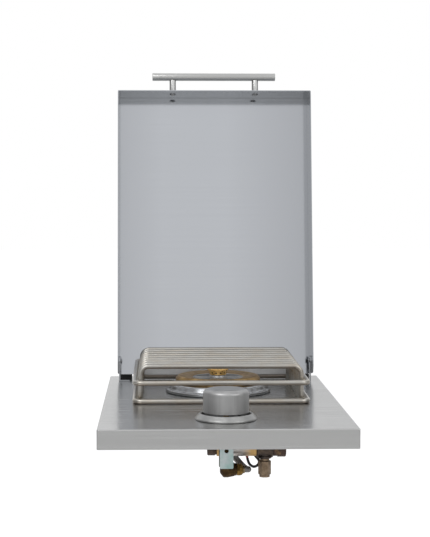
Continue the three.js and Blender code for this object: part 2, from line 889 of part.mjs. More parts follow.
function electrodeBody() {
  const flange = seatGap;
  const shoulder = flange + electrodeFlangeHeight;
  return turned([
    [0, electrodeBottom],
    [electrodeRadius, electrodeBottom],
    [electrodeRadius, flange],
    [electrodeFlangeRadius, flange],
    [electrodeFlangeRadius, shoulder],
    [electrodeRadius, shoulder],
    [electrodeRadius, electrodeTop - tipRadius],
    [electrodeRadius - tipRadius, electrodeTop],
    [0, electrodeTop],
  ], screwSides, electrodeX, electrodeY);
}

function electrodeTip() {
  const bottom = electrodeTop + seatGap;
  return uprightBar(electrodeX, electrodeY, bottom, bottom + tipHeight, tipRadius, rodSides / 2);
}

const moduleTop = bracketUnder - seatGap;
const moduleRight = bracketTopRight - deckStudRadius;
const moduleFront = bracketFront + bracketSheet + deckStudRadius;

function igniterModule() {
  const shape = roundedRectangle(moduleWidth, moduleDepth, deckCorner, moduleFront);
  const options = { depth: moduleHeight, bevelEnabled: false, curveSegments: cornerSteps };
  const body = new THREE.ExtrudeGeometry(shape, options);
  body.translate(moduleRight - moduleWidth / 2, 0, moduleTop - moduleHeight);
  const socket = depthBar(
    moduleRight - moduleWidth / 2, moduleFront + moduleDepth - leadRadius,
    moduleFront + moduleDepth + cutOverrun, moduleTop - moduleHeight / 2, leadRadius + seatGap);
  return cut(solid(body), socket);
}

// The ignition lead's route, chosen by hand: over the pipe, down in a loop behind it,
// then along the deck's underside and up into the electrode's terminal.
const leadRoute = [
  [28.5, 88.3, -11.8],
  [28.5, 97, -12.5],
  [27.6, 109, -17],
  [27.8, 117, -28],
  [28.2, 118.5, -42],
  [29.5, 118.5, -56],
  [33, 118.5, -66],
  [38.5, 118.5, -69.3],
  [43.6, 118.5, -67],
  [45.4, 118.5, -62],
  [41.6, 118.5, -56.5],
  [37.6, 119, -51],
  [37, 121, -41],
  [43, 128, -29],
  [54, 142, -20],
  [64, 168, -15],
  [84, 200, -13],
  [99, 240, -12],
  [104, 295, -12],
  [103, 345, -13],
  [96, 378, -18],
  [80, 399, -26],
  [62, 403, -33],
  [50.5, 393, -34],
  [46.1, 384.1, -27],
  [46.1, 384.1, -14.4],
];

function ignitionLead() {
  return routed(leadRoute, leadRadius, leadSides, leadStepsPerPoint);
}

// Knob, bezel and stem, in a group of its own with x and y on their axis

function knobShell() {
  const top = knobLift + knobHeight;
  const profile = [
    [knobRadius - knobWall, knobLift],
    [knobRadius, knobLift],
    [knobRadius, top - 2 * knobBevelDrop],
    [knobRadius - knobBevelInset, top - knobBevelDrop],
    [knobRadius - knobChamfer, top],
    [0, top],
    [0, top - knobRoof],
    [knobRadius - knobWall, top - knobRoof],
  ];
  const hub = uprightBar(0, 0, knobLift + knobHubLift, top - knobRoof / 2, knobHubRadius, roundSides / 2);
  const bore = uprightBar(0, 0, knobLift, stemTop + seatGap, stemRadius + seatGap, tubeSides);
  const flat = stemRadius - stemFlat + seatGap;
  const land = block(
    -stemRadius - seatGap, stemRadius + seatGap, flat, stemRadius + knobWall,
    knobLift + knobHubLift, stemTop + seatGap);
  const mark = block(
    -knobMarkWidth / 2, knobMarkWidth / 2, knobRadius - knobMarkLength, knobRadius + cutOverrun,
    top - knobMarkDepth, top + cutOverrun);
  const bored = cut(join(turned(profile, wideSides), hub), bore);
  return cut(join(bored, land), mark);
}

function knobBezel() {
  const profile = [
    [bezelFloorHole, seatGap],
    [bezelFootRadius, seatGap],
    [bezelFootRadius, 2 * deckSheet],
    [bezelTopRadius, bezelHeight],
    [bezelMouth, bezelHeight],
    [bezelMouth, seatGap + bezelFloor],
    [bezelFloorHole, seatGap + bezelFloor],
  ];
  const holes = bezelScrewPlaces().map(([, x, y]) => uprightBar(
    x, y, -cutOverrun, cutOverrun, bezelScrewRadius + seatGap));
  return cut(turned(profile, wideSides), ...holes);
}

function bezelScrew(x, y) {
  const seat = 2 * seatGap + bezelFloor;
  return join(
    uprightBar(x, y, bracketUnder - bezelScrewTail, seat, bezelScrewRadius),
    uprightBar(x, y, seat, seat + bezelScrewHeadHeight, bezelScrewHeadRadius),
  );
}

function valveStem() {
  const flat = stemRadius - stemFlat;
  const waste = block(
    -stemRadius - cutOverrun, stemRadius + cutOverrun, flat, stemRadius + cutOverrun,
    stemTop - stemFlatLength, stemTop + cutOverrun);
  return cut(uprightBar(0, 0, stemBottom, stemTop, stemRadius, tubeSides), waste);
}

function stemCollar(z0, z1, radius) {
  const hole = uprightBar(0, 0, z0 - cutOverrun, z1 + cutOverrun, stemRadius + runGap, tubeSides);
  return cut(uprightBar(0, 0, z0, z1, radius, roundSides / 2), hole);
}

function stemSpring() {
  const bottom = springBottom + springWire;
  const rise = springTop - springWire - bottom;
  class Helix extends THREE.Curve {
    getPoint(t) {
      const angle = t * springTurns * 2 * Math.PI;
      return new THREE.Vector3(
        springRadius * Math.cos(angle), springRadius * Math.sin(angle), bottom + t * rise);
    }
  }
  return along(new Helix(), springWire, springSides, springTurns * springStepsPerTurn);
}

// Valve, bracket and the fittings at the outlet

function valveScrewPlaces() {
  const shift = valveScrewCircle * Math.cos(Math.PI / 4);
  return [["right", shift, knobSetback - shift], ["left", -shift, knobSetback + shift]];
}

function valveBody() {
  const column = uprightBar(0, knobSetback, valveBottom, valveTop, valveRadius, roundSides);
  const disc = uprightBar(
    0, knobSetback, valveTop, valveTop + valveFlangeHeight, valveFlangeRadius, roundSides);
  const flat = bracketFront + bracketSheet + seatGap;
  const flange = disc.subtract(block(
    -valveFlangeRadius, valveFlangeRadius, flat - valveFlangeRadius, flat,
    valveTop - cutOverrun, valveTop + valveFlangeHeight + cutOverrun));
  const elbow = turnedAlongX([
    [0, outletLeft],
    [outletNoseRadius, outletLeft],
    [outletRadius, outletLeft + outletChamfer],
    [outletRadius, outletTaperStart],
    [outletMouthRadius, outletRight],
    [0, outletRight],
  ], knobSetback, -outletDrop, screwSides);
  const inlet = depthBar(
    0, knobSetback, pipeSetback - pipeRadius - seatGap, -pipeDrop, spigotPipeRadius, roundSides / 2);
  const bore = uprightBar(
    0, knobSetback, stemBottom - cutOverrun, valveTop + valveFlangeHeight + cutOverrun,
    valveBore, roundSides / 2);
  const holes = valveScrewPlaces().map(([, x, y]) => uprightBar(
    x, y, valveTop - cutOverrun, valveTop + valveFlangeHeight + cutOverrun, valveScrewRadius + seatGap));
  return cut(join(column, flange, elbow, inlet), bore, ...holes);
}

function valveScrew(x, y) {
  const seat = valveTop - seatGap;
  return join(
    uprightBar(x, y, seat, bracketTop, valveScrewRadius),
    uprightBar(x, y, seat - valveScrewHeadHeight, seat, valveScrewHeadRadius, 6),
  );
}

function valveBracket() {
  const tongue = block(
    bracketLeft, bracketRight, bracketFront, bracketFront + bracketSheet,
    bracketBottom + bracketCorner, bracketTop);
  const tip = block(
    bracketLeft + bracketCorner, bracketRight - bracketCorner,
    bracketFront, bracketFront + bracketSheet, bracketBottom, bracketBottom + cutOverrun);
  const table = block(
    bracketTopLeft, bracketTopRight, bracketFront, bracketTopRear, bracketUnder, bracketTop);
  const hole = depthBar(
    (bracketLeft + bracketRight) / 2, bracketFront - cutOverrun, bracketFront + cutOverrun,
    -bracketHoleDrop, bracketHoleRadius);
  const down = bracketUnder - cutOverrun;
  const stemWay = uprightBar(0, knobSetback, down, cutOverrun, bracketStemHole, roundSides);
  const screwWays = valveScrewPlaces().map(([, x, y]) => uprightBar(
    x, y, down, cutOverrun, valveScrewRadius + seatGap));
  const bezelWays = bezelScrewPlaces().map(([, x, y]) => uprightBar(
    x, knobSetback + y, down, cutOverrun, bezelScrewRadius + seatGap));
  return cut(join(tongue, tip, table), hole, stemWay, ...screwWays, ...bezelWays);
}

function outletNut() {
  const end = outletNutLeft + outletNutLength;
  const middle = (outletNutLeft + end) / 2;
  const hex = crossBar(outletNutLeft, middle, knobSetback, -outletDrop, outletNutRadius, 6);
  const neck = turnedAlongX([
    [0, middle],
    [outletNutRadius - seatGap, middle],
    [outletNutEndRadius, end],
    [0, end],
  ], knobSetback, -outletDrop, screwSides);
  const bore = crossBar(
    outletNutLeft - cutOverrun, end + cutOverrun, knobSetback, -outletDrop, feedRadius + seatGap);
  return cut(join(hex, neck), bore);
}

function outletSleeve() {
  const end = sleeveLeft + sleeveLength;
  const bore = crossBar(
    sleeveLeft - cutOverrun, end + cutOverrun, knobSetback, -outletDrop, feedRadius + seatGap);
  return cut(crossBar(sleeveLeft, end, knobSetback, -outletDrop, sleeveRadius, tubeSides), bore);
}

// The feed tube leaves the valve to the right and comes back in a tight turn, given as shares of the
// turn's reach, depth and drop. It then climbs back and left to the straight run into the jet holder,
// given as shares of what is left to go across, back and down.
const feedTurnShares = [
  [0, 0, 0],
  [0.295, 0, 0],
  [0.537, 0, 0],
  [0.72, 0.002, 0],
  [0.926, 0.1, 0.21],
  [1, 0.333, 0.667],
  [0.874, 0.646, 1],
  [0.61, 1, 0.25],
];
const feedClimbShares = [
  [0.75, 0.065, 0.86],
  [0.48, 0.155, 0.682],
  [0.25, 0.277, 0.463],
  [0.096, 0.484, 0.216],
  [0.023, 0.742, 0.052],
];

function feedRoute() {
  const left = outletNutLeft + runGap;
  const turn = feedTurnShares.map(([across, back, down]) => [
    left + across * feedTurnReach,
    knobSetback + back * feedTurnDepth,
    -outletDrop - down * feedTurnDrop,
  ]);
  const [x, y, z] = turn.at(-1);
  const end = burnerSetback - holderRadius - holderInletLength + feedEntry;
  const straight = end - feedStraight;
  const climb = feedClimbShares.map(([across, back, down]) => [
    across * x,
    y + back * (straight - y),
    -holderInletDrop + down * (z + holderInletDrop),
  ]);
  const run = [straight, (straight + end) / 2, end].map((back) => [0, back, -holderInletDrop]);
  return [...turn, ...climb, ...run];
}

function feedTube() {
  return routed(feedRoute(), feedRadius, feedSides, feedStepsPerPoint);
}

function feedNut() {
  const end = burnerSetback - holderRadius - holderInletLength - seatGap;
  const nut = depthBar(0, end - feedNutLength, end, -holderInletDrop, feedNutRadius, 6);
  const bore = depthBar(
    0, end - feedNutLength - cutOverrun, end + cutOverrun, -holderInletDrop, feedRadius + runGap);
  return cut(nut, bore);
}

// Manifold pipe and its fittings

function manifoldPipe() {
  const bore = crossBar(
    pipeLeft - cutOverrun, teeLeft + cutOverrun, pipeSetback, -pipeDrop, pipeRadius - pipeWall,
    roundSides / 2);
  const right = teeLeft - seatGap;
  return cut(crossBar(pipeLeft, right, pipeSetback, -pipeDrop, pipeRadius, roundSides / 2), bore);
}

function endPlug() {
  const right = pipeLeft - seatGap;
  const left = right - plugLength;
  const edge = plugRadius - pipeWall / 2;
  return turnedAlongX([
    [0, left],
    [edge, left],
    [plugRadius, left + pipeWall / 2],
    [plugRadius, right - pipeWall],
    [edge, right - pipeWall],
    [edge, right],
    [0, right],
  ], pipeSetback, -pipeDrop, roundSides / 2);
}

function inletTee() {
  const run = turnedAlongX([
    [0, teeLeft],
    [teeRadius, teeLeft],
    [teeRadius, teeLeft + pipeWall],
    [teeRadius - pipeWall / 2, teeLeft + 2 * pipeWall],
    [teeRadius - pipeWall / 2, teeRight - 2 * pipeWall],
    [teeRadius, teeRight - pipeWall],
    [teeRadius, teeRight],
    [0, teeRight],
  ], pipeSetback, -pipeDrop, roundSides / 2);
  const branch = uprightBar(
    teeCentre, pipeSetback, -teeBranchDrop, -pipeDrop, teeBranchRadius, roundSides / 2);
  return join(run, branch);
}

function endFitting() {
  const left = teeRight + seatGap;
  const step = (endFittingRight - left) / 3;
  const rim = endFittingRadius - pipeWall / 2;
  return turnedAlongX([
    [0, left],
    [rim, left],
    [rim, left + step],
    [endFittingRadius, left + step],
    [endFittingRadius, endFittingRight - pipeWall / 2],
    [rim, endFittingRight],
    [0, endFittingRight],
  ], pipeSetback, -pipeDrop, roundSides / 2);
}

function inletFitting() {
  const top = -teeBranchDrop - seatGap;
  const shoulder = top - inletNeckLength;
  const neck = uprightBar(teeCentre, pipeSetback, shoulder, top, inletNeckRadius, screwSides);
  const hexTop = -inletBottom + 2 * inletChamfer;
  const hex = uprightBar(teeCentre, pipeSetback, hexTop, shoulder, inletRadius, 6);
  const mouth = uprightBar(
    teeCentre, pipeSetback, -inletBottom, hexTop, inletRadius - inletChamfer, screwSides);
  const bore = uprightBar(
    teeCentre, pipeSetback, -inletBottom - cutOverrun, shoulder, inletBore, screwSides);
  return cut(join(neck, hex, mouth), bore);
}

// Lid, in a group that turns on the pins: y and z are counted from the pin axis, as if closed

const lidFront = -lidFrontFromPivot;
const lidTop = lidTopAbovePivot;
const handleHeight = lidFlange / 2 - lidEdgeBelowPivot;
const handleAxis = lidFront - barStandoff;

function lidPanel() {
  const half = lidWidth / 2;
  const inner = roundedRectangle(
    lidWidth - 2 * lidSheet, lidLength + cutOverrun, lidCorner - lidSheet, lidSheet);
  const hollow = slab(inner, -lidFlange - cutOverrun, -lidSheet);
  let pan = trayOutside(lidWidth, lidLength, lidFlange, lidCorner, lidBend);
  pan = pan.subtract(hollow);
  const placed = new THREE.Matrix4().makeTranslation(0, lidFront, lidTop);
  pan = solid(geometryOf(pan).applyMatrix4(placed));
  const sweep = lidEdgeBelowPivot;
  const rear = pivotFromRear + cutOverrun / 2;
  const corner = new THREE.Shape();
  corner.moveTo(0, -sweep - cutOverrun);
  corner.lineTo(rear, -sweep - cutOverrun);
  corner.absarc(0, 0, sweep, -Math.acos(rear / sweep), -Math.PI / 2, true);
  pan = cut(
    pan,
    sidePlate(corner, -half - cutOverrun, half + cutOverrun, rodSides),
    crossBar(-half - cutOverrun, half + cutOverrun, 0, 0, pinRadius + runGap, roundSides / 2),
  );
  for (const [, sign] of sides) {
    const x = (sign * postSpacing) / 2;
    const front = lidFront - cutOverrun;
    const back = lidFront + cutOverrun;
    pan = pan.subtract(depthBar(x, front, back, handleHeight, handleScrewRadius + seatGap));
    for (const place of [rivetOuterPlace, rivetInnerPlace]) {
      pan = pan.subtract(uprightBar(
        sign * place, pivotFromRear - hemWidth / 2, lidTop - cutOverrun, lidTop + cutOverrun,
        rivetRadius + seatGap));
    }
  }
  return pan;
}

const hemTop = lidTop - lidSheet - seatGap;

// The stiffening strip and its four rivets are one piece; the rivets pass through the lid.
function lidHem() {
  const half = hemLength / 2;
  const strip = block(
    -half, half, pivotFromRear - hemWidth, pivotFromRear + hemOverhang, hemTop - hemSheet, hemTop);
  const under = hemTop - hemSheet;
  const over = lidTop + seatGap;
  const rivets = [];
  for (const [, sign] of sides) {
    for (const place of [rivetOuterPlace, rivetInnerPlace]) {
      const x = sign * place;
      const y = pivotFromRear - hemWidth / 2;
      rivets.push(
        uprightBar(x, y, under, over, rivetRadius, rodSides),
        uprightBar(x, y, under - rivetHeadHeight, under, rivetHeadRadius, rodSides),
        uprightBar(x, y, over, over + rivetHeadHeight / 2, rivetHeadRadius, rodSides),
      );
    }
  }
  return join(strip, ...rivets);
}

function handleBar() {
  const half = barLength / 2;
  return turnedAlongX([
    [0, -half],
    [barRadius - barEndRound, -half],
    [barRadius, barEndRound - half],
    [barRadius, half - barEndRound],
    [barRadius - barEndRound, half],
    [0, half],
  ], handleAxis, handleHeight, roundSides / 2);
}

function handlePost(sign) {
  const x = (sign * postSpacing) / 2;
  const foot = lidFront - seatGap;
  const post = depthBar(x, handleAxis, foot, handleHeight, postRadius, roundSides / 2);
  const half = barLength / 2;
  const saddle = crossBar(-half, half, handleAxis, handleHeight, barRadius + seatGap, roundSides);
  const bore = depthBar(
    x, foot - handleScrewReach - seatGap, foot + cutOverrun, handleHeight, handleScrewRadius + seatGap);
  return cut(post, saddle, bore);
}

function handleScrew(sign) {
  const inside = lidFront + lidSheet + seatGap;
  const x = (sign * postSpacing) / 2;
  return join(
    depthBar(x, lidFront - handleScrewReach, inside, handleHeight, handleScrewRadius),
    depthBar(x, inside, inside + handleScrewHeadHeight, handleHeight, handleScrewHeadRadius),
  );
}

// The whole assembly

const assembly = new THREE.Group();
assembly.position.set(0, -returnWidth / 2 - deckSheet, apronHeight);

piece(assembly, "deck_panel", deckPanel(), brushedSteel);
for (const [name, sign] of sides) {
  piece(assembly, "hinge_bracket_" + name, hingeBracket(sign), brushedSteel);
  piece(assembly, "hinge_pin_" + name, hingePin(sign), springSteel);
  piece(assembly, "lid_stop_pad_" + name, stopPad(sign), blackRubber);
}

piece(assembly, "grate_lower_ring", grateRing(lowerRingHeight), rodSteel);
piece(assembly, "grate_upper_ring", grateRing(upperRingHeight), rodSteel);
for (let i = 0; i < grateRods; i += 1) {
  piece(assembly, "grate_rod_" + (i + 1), grateBow(i), rodSteel);
}

const burner = new THREE.Group();
burner.position.set(0, burnerSetback, 0);
assembly.add(burner);
piece(burner, "drip_dish", dripDish(), chrome);
piece(burner, "burner_body", burnerBody(), castAluminium);
piece(burner, "burner_outer_ring", brassRing(), brass);
piece(burner, "burner_centre_cap", brassCap(), brightBrass);
piece(burner, "burner_strap", burnerStrap(), zinc);
piece(burner, "jet_holder", jetHolder(), castAluminium);
piece(burner, "gas_jet", gasJet(), brightBrass);
for (const [name, sign] of sides) {
  piece(burner, "strap_nut_" + name, strapNut(sign), springSteel);
}

piece(assembly, "igniter_electrode", electrodeBody(), porcelain);
piece(assembly, "igniter_tip", electrodeTip(), springSteel);
piece(assembly, "igniter_module", igniterModule(), blackPlastic);
piece(assembly, "ignition_lead", ignitionLead(), blackRubber);

const control = new THREE.Group();
control.position.set(0, knobSetback, 0);
assembly.add(control);
piece(control, "knob_bezel", knobBezel(), brushedSteel);
for (const [name, x, y] of bezelScrewPlaces()) {
  piece(control, "bezel_screw_" + name, bezelScrew(x, y), springSteel);
}
piece(control, "stem_spring", stemSpring(), springSteel);
piece(control, "spring_seat", stemCollar(seatTop - seatHeight, seatTop, seatRadius), springSteel);
piece(control, "knob", knobShell(), brushedSteel);
piece(control, "valve_stem", valveStem(), brightBrass);
piece(control, "stem_clip", stemCollar(seatTop + seatGap, seatTop + seatGap + clipHeight, clipRadius),
  springSteel);

piece(assembly, "valve_body", valveBody(), agedBrass);
for (const [name, x, y] of valveScrewPlaces()) {
  piece(assembly, "valve_screw_" + name, valveScrew(x, y), springSteel);
}
piece(assembly, "valve_bracket", valveBracket(), zinc);
piece(assembly, "outlet_nut", outletNut(), agedBrass);
piece(assembly, "outlet_sleeve", outletSleeve(), chrome);
piece(assembly, "feed_tube", feedTube(), greyPipe);
piece(assembly, "feed_tube_nut", feedNut(), brass);
piece(assembly, "manifold_pipe", manifoldPipe(), greyPipe);
piece(assembly, "manifold_end_plug", endPlug(), darkFitting);
piece(assembly, "inlet_tee", inletTee(), darkFitting);
piece(assembly, "manifold_end_fitting", endFitting(), agedBrass);
piece(assembly, "inlet_fitting", inletFitting(), agedBrass);

const lid = new THREE.Group();
lid.position.set(0, pivotSetback, pivotHeight);
lid.rotation.x = -lidOpenAngle;
assembly.add(lid);
piece(lid, "lid_panel", lidPanel(), brushedSteel);
piece(lid, "lid_hem", lidHem(), brushedSteel);
piece(lid, "handle_bar", handleBar(), brushedSteel);
for (const [name, sign] of sides) {
  piece(lid, "handle_post_" + name, handlePost(sign), brushedSteel);
  piece(lid, "handle_screw_" + name, handleScrew(sign), springSteel);
}

export default assembly;
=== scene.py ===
# A built in side burner: brushed steel deck and lid, rod grate, brass ring burner, knob, gas valve.
# Sizes are in millimetres in the deck's own frame (x across, y back from the front edge, z up from
# the deck's top) until a mesh is made, when they become metres in the row's frame.
import json
import math

import bmesh
import bpy
from mathutils import Matrix, Vector

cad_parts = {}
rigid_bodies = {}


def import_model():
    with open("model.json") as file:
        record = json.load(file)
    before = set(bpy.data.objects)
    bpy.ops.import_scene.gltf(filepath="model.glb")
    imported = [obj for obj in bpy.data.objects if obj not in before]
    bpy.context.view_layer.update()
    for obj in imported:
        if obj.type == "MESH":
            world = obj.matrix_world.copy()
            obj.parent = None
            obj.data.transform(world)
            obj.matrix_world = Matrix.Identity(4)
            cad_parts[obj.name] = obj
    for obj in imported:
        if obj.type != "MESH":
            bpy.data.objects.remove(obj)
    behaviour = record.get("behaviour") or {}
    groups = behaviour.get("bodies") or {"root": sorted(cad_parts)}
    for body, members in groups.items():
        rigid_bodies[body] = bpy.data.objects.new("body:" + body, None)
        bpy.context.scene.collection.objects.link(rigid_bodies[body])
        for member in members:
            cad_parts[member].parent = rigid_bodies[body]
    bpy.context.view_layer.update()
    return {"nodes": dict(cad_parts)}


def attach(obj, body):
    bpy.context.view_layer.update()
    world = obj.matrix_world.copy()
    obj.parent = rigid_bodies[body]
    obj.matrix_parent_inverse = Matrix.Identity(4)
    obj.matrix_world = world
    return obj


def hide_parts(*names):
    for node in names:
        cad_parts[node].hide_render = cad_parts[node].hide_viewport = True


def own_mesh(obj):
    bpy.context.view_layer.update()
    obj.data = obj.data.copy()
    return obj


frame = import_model()

# Places and sizes, as on the solids; the lid's are for the closed lid, counted from its pins
MM = 0.001
TINY = 1e-6
STAY = Matrix.Identity(4)
SIDES = (("left", -1), ("right", 1))
DECK_TO_ROW = Vector((0.0, -9.2, 25.0))
SHEET = 1.2
SEAT_GAP = 0.3
PIVOT = Vector((0.0, 451.7, 31.0))
LID_OPEN = math.radians(98)
LID_TOP = 24.9
LID_FRONT = -414.2
LID_WALL = 55.5
WALL_FOOT = -30.6
HANDLE_HALF = 95.5
HANDLE_OUT = 26.5
POST_X = 64.0
KNOB_Y = 79.0
BURNER_Y = 338.0
ELECTRODE = Vector((65.2, 65.2, 0.0)) * math.cos(math.pi / 4)
STUD_X = 83.0
GRATE_WIDTH = 238.0
ROD_THICKNESS = 7.2
ROD_RADIUS = 3.55
ROD_COUNT = 9
ROD_PITCH = 26.0
RING_HEIGHTS = {"lower": 3.9, "upper": 29.0}
OUTLET_Z = -65.0
FEED_Z = -29.1
FEED_BORE = 4.5
PIPE_Y, PIPE_Z = 104.0, -42.8
INLET_X = 51.5


# Frames


def from_deck():
    """The matrix from deck millimetres to row metres."""
    return Matrix.Scale(MM, 4) @ Matrix.Translation(DECK_TO_ROW)


def from_burner():
    return from_deck() @ Matrix.Translation((0, BURNER_Y, 0))


def from_knob():
    return from_deck() @ Matrix.Translation((0, KNOB_Y, 0))


def from_lid():
    """The closed lid's own millimetres, counted from its pins, to its open rest place."""
    return from_deck() @ Matrix.Translation(PIVOT) @ Matrix.Rotation(-LID_OPEN, 4, "X")


def facing(place, direction):
    """Turns local +Z to the given direction, at the given place."""
    turn = Vector(direction).to_track_quat("Z", "Y").to_matrix().to_4x4()
    return Matrix.Translation(place) @ turn


def placed(name, data):
    """A new object in the scene, for a mesh, a lamp or a camera."""
    made = bpy.data.objects.new(name, data)
    bpy.context.scene.collection.objects.link(made)
    return made


# Node trees


class Nodes:
    """Short calls that build a node tree. An input takes a plain value or another node's output."""

    def __init__(self, tree, coordinates=None):
        self.tree = tree
        tree.nodes.clear()
        if coordinates:
            self.place = self.add("ShaderNodeTexCoord").outputs[coordinates]

    def add(self, kind, inputs=None, **settings):
        node = self.tree.nodes.new(kind)
        for key, value in settings.items():
            setattr(node, key, value)
        for key, value in (inputs or {}).items():
            self.put(node.inputs[key], value)
        return node

    def put(self, socket, value):
        if hasattr(value, "is_output"):
            self.tree.links.new(value, socket)
        else:
            socket.default_value = value

    def math(self, operation, *values):
        return self.add("ShaderNodeMath", dict(enumerate(values)), operation=operation).outputs[0]

    def ranged(self, value, low, high, start=0.3, end=0.7):
        """Goes from low to high while the value goes from start to end."""
        return self.add("ShaderNodeMapRange", {"Value": value, "From Min": start, "From Max": end,
                                               "To Min": low, "To Max": high}).outputs[0]

    def blend(self, amount, first, second):
        """A number between two others."""
        return self.add("ShaderNodeMix", {0: amount, 2: first, 3: second}, data_type="FLOAT").outputs[0]

    def mix(self, amount, first, second):
        """A colour between two others."""
        colors = [(*c, 1.0) if isinstance(c, tuple) else c for c in (first, second)]
        return self.add("ShaderNodeMix", {0: amount, 6: colors[0], 7: colors[1]}, data_type="RGBA").outputs[2]

    def vector(self, x=0.0, y=0.0, z=0.0):
        return self.add("ShaderNodeCombineXYZ", {"X": x, "Y": y, "Z": z}).outputs[0]

    def axis(self, name, source=None):
        return self.add("ShaderNodeSeparateXYZ", {0: source or self.place}).outputs[name]


# Materials


class Finish(Nodes):
    """A material's node tree, with calls for what most finishes share."""

    def __init__(self, name):
        self.material = bpy.data.materials.new(name)
        self.material.use_nodes = True
        super().__init__(self.material.node_tree, "Object")
        self.shader = self.add("ShaderNodeBsdfPrincipled")
        self.out = self.add("ShaderNodeOutputMaterial", {"Surface": self.shader.outputs[0]})

    def noise(self, stretch, detail=4.0, rough=0.55, shift=(0, 0, 0)):
        """Noise over the piece, with one stretch for all axes or one for each."""
        stretch = stretch if isinstance(stretch, tuple) else (stretch,) * 3
        spread = self.add("ShaderNodeMapping", {"Vector": self.place, "Scale": stretch, "Location": shift})
        return self.add("ShaderNodeTexNoise", {"Vector": spread.outputs[0], "Scale": 1.0, "Detail": detail,
                                               "Roughness": rough}).outputs["Fac"]

    def second_tone(self, amount, tone, other, most=1.0, start=0.3, end=0.7):
        """Lets another tone through as the amount goes from start to end."""
        return self.mix(self.ranged(amount, 0.0, most, start, end), tone, other)

    def bump(self, height, strength, distance):
        node = self.add("ShaderNodeBump", {"Height": height, "Strength": strength, "Distance": distance})
        self.put(self.shader.inputs["Normal"], node.outputs[0])

    def grain(self, direction, amount):
        """Spreads reflections across brushing that runs along the given direction."""
        face = self.add("ShaderNodeNewGeometry").outputs["Normal"]
        across = self.add("ShaderNodeVectorMath", {0: face, 1: direction}, operation="CROSS_PRODUCT")
        self.put(self.shader.inputs["Tangent"], across.outputs[0])
        self.shader.inputs["Anisotropic"].default_value = amount

    def normal(self, name):
        return self.axis(name, self.add("ShaderNodeNewGeometry").outputs["Normal"])

    def done(self, color, roughness, metallic=1.0, coat=0.0):
        for name, value in (("Base Color", color), ("Roughness", roughness), ("Metallic", metallic),
                            ("Coat Weight", coat)):
            self.put(self.shader.inputs[name], value)
        return self.material


def shade(color, factor):
    return tuple(min(1.0, c * factor) for c in color)


def brushed_sheet(name, color, rough, haze=0.05, bump=0.05, grain=0.7, fold=False, painted_side_shade=1.0):
    """Steel with hair-fine lines from side to side, a slow haze and small differences in gloss."""
    finish = Finish(name)
    finish.grain((1, 0.02, 0.03), grain)
    hairs = finish.noise((7, 1500, 1500), 3.0, 0.6)
    bands = finish.noise((3, 260, 260), 2.0, 0.5, (3, 1, 7))
    cloud = finish.noise(9, 3.0, 0.6, (5, 2, 1))
    both = finish.math("MULTIPLY_ADD", bands, 0.55, finish.math("MULTIPLY", hairs, 0.45))
    tone = finish.second_tone(both, shade(color, 1 - haze), shade(color, 1 + haze), 1.0, 0.36, 0.64)
    tone = finish.second_tone(cloud, tone, shade(color, 1 - 0.6 * haze), 0.55, 0.35, 0.7)
    gloss = finish.ranged(both, *rough, 0.35, 0.65)
    # Painted shade: upward faces darken to the right of x = 0.06 m, fully from 0.13 m.
    if painted_side_shade < 1:
        level = finish.math("GREATER_THAN", finish.normal("Z"), 0.7)
        right = finish.math("MULTIPLY", finish.ranged(finish.axis("X"), 0.0, 1.0, 0.06, 0.13), level)
        tone = finish.mix(right, tone, shade(color, painted_side_shade))
    if fold:
        across = finish.axis("X")
        # Painted shade: the lid darkens towards its right edge and towards its left edge.
        tone = finish.second_tone(across, tone, shade(color, 0.80), 1.0, 0.02, 0.16)
        tone = finish.mix(finish.ranged(across, 1.0, 0.0, -0.16, -0.08), tone, shade(color, 0.86))
        # Painted shade in the folds beside the plate, and a little over the whole flanges.
        tone = finish.mix(painted_fold_shade(finish), tone, shade(color, 0.3))
        more = finish.ranged(above_lid_plate(finish), 0.0, 0.17, 0.0003, 0.0009)
    else:
        more = finish.ranged(cloud, -0.02, 0.03)
    finish.bump(both, bump, 0.00004)
    return finish.done(tone, finish.math("ADD", gloss, more))


def above_lid_plate(finish):
    """The distance from the inner face of the lid's plate, along its thickness, in metres."""
    up = from_lid().to_3x3().col[2].normalized()
    height = finish.add("ShaderNodeVectorMath", {0: finish.place, 1: up}, operation="DOT_PRODUCT")
    plate = (LID_TOP - SHEET) * MM + up.dot(from_lid().translation)
    return finish.math("SUBTRACT", height.outputs["Value"], plate)


def painted_fold_shade(finish):
    """How far a place on the lid's flanges lies in the fold beside the plate, where shade is painted dark."""
    height = above_lid_plate(finish)
    rising = finish.ranged(height, 0.0, 0.9, -0.0042, -0.0018)
    flange = finish.math("LESS_THAN", height, -0.0002)
    return finish.math("MAXIMUM", finish.math("MULTIPLY", rising, flange),
                       finish.math("MULTIPLY", flange, 0.17))


def away_from_burner(finish):
    """The distance from the burner's upright axis, in metres."""
    middle = (0.0, -(BURNER_Y + DECK_TO_ROW.y) * MM, 0.0)
    centred = finish.add("ShaderNodeMapping", {"Vector": finish.place, "Location": middle}).outputs[0]
    squares = [finish.math("MULTIPLY", side, side) for side in (finish.axis(n, centred) for n in "XY")]
    return finish.math("SQRT", finish.math("ADD", *squares))


def deck_height(finish, low, high, start, end):
    """A value that changes with the height above the deck, given in millimetres."""
    return finish.ranged(finish.axis("Z"), low, high, *((h + DECK_TO_ROW.z) * MM for h in (start, end)))


def turned_metal(name, color, rough, side=(900, 900, 12), haze=0.07):
    """Metal brushed on a lathe, with fine lines that run up its sides."""
    finish = Finish(name)
    lines = finish.noise(side, 3.0, 0.6)
    broad = finish.noise((side[0] / 7, side[1] / 7, side[2] / 3), 2.0, 0.5, (2, 5, 3))
    cloud = finish.noise(60, 3.0, 0.55, (1, 4, 2))
    both = finish.math("MULTIPLY_ADD", broad, 0.6, finish.math("MULTIPLY", lines, 0.4))
    tone = finish.second_tone(both, shade(color, 1 - haze), shade(color, 1 + haze), 1.0, 0.36, 0.64)
    tone = finish.second_tone(cloud, tone, shade(color, 1 - haze), 0.4)
    finish.bump(both, 0.06, 0.00004)
    return finish.done(tone, finish.ranged(both, *rough, 0.35, 0.65))


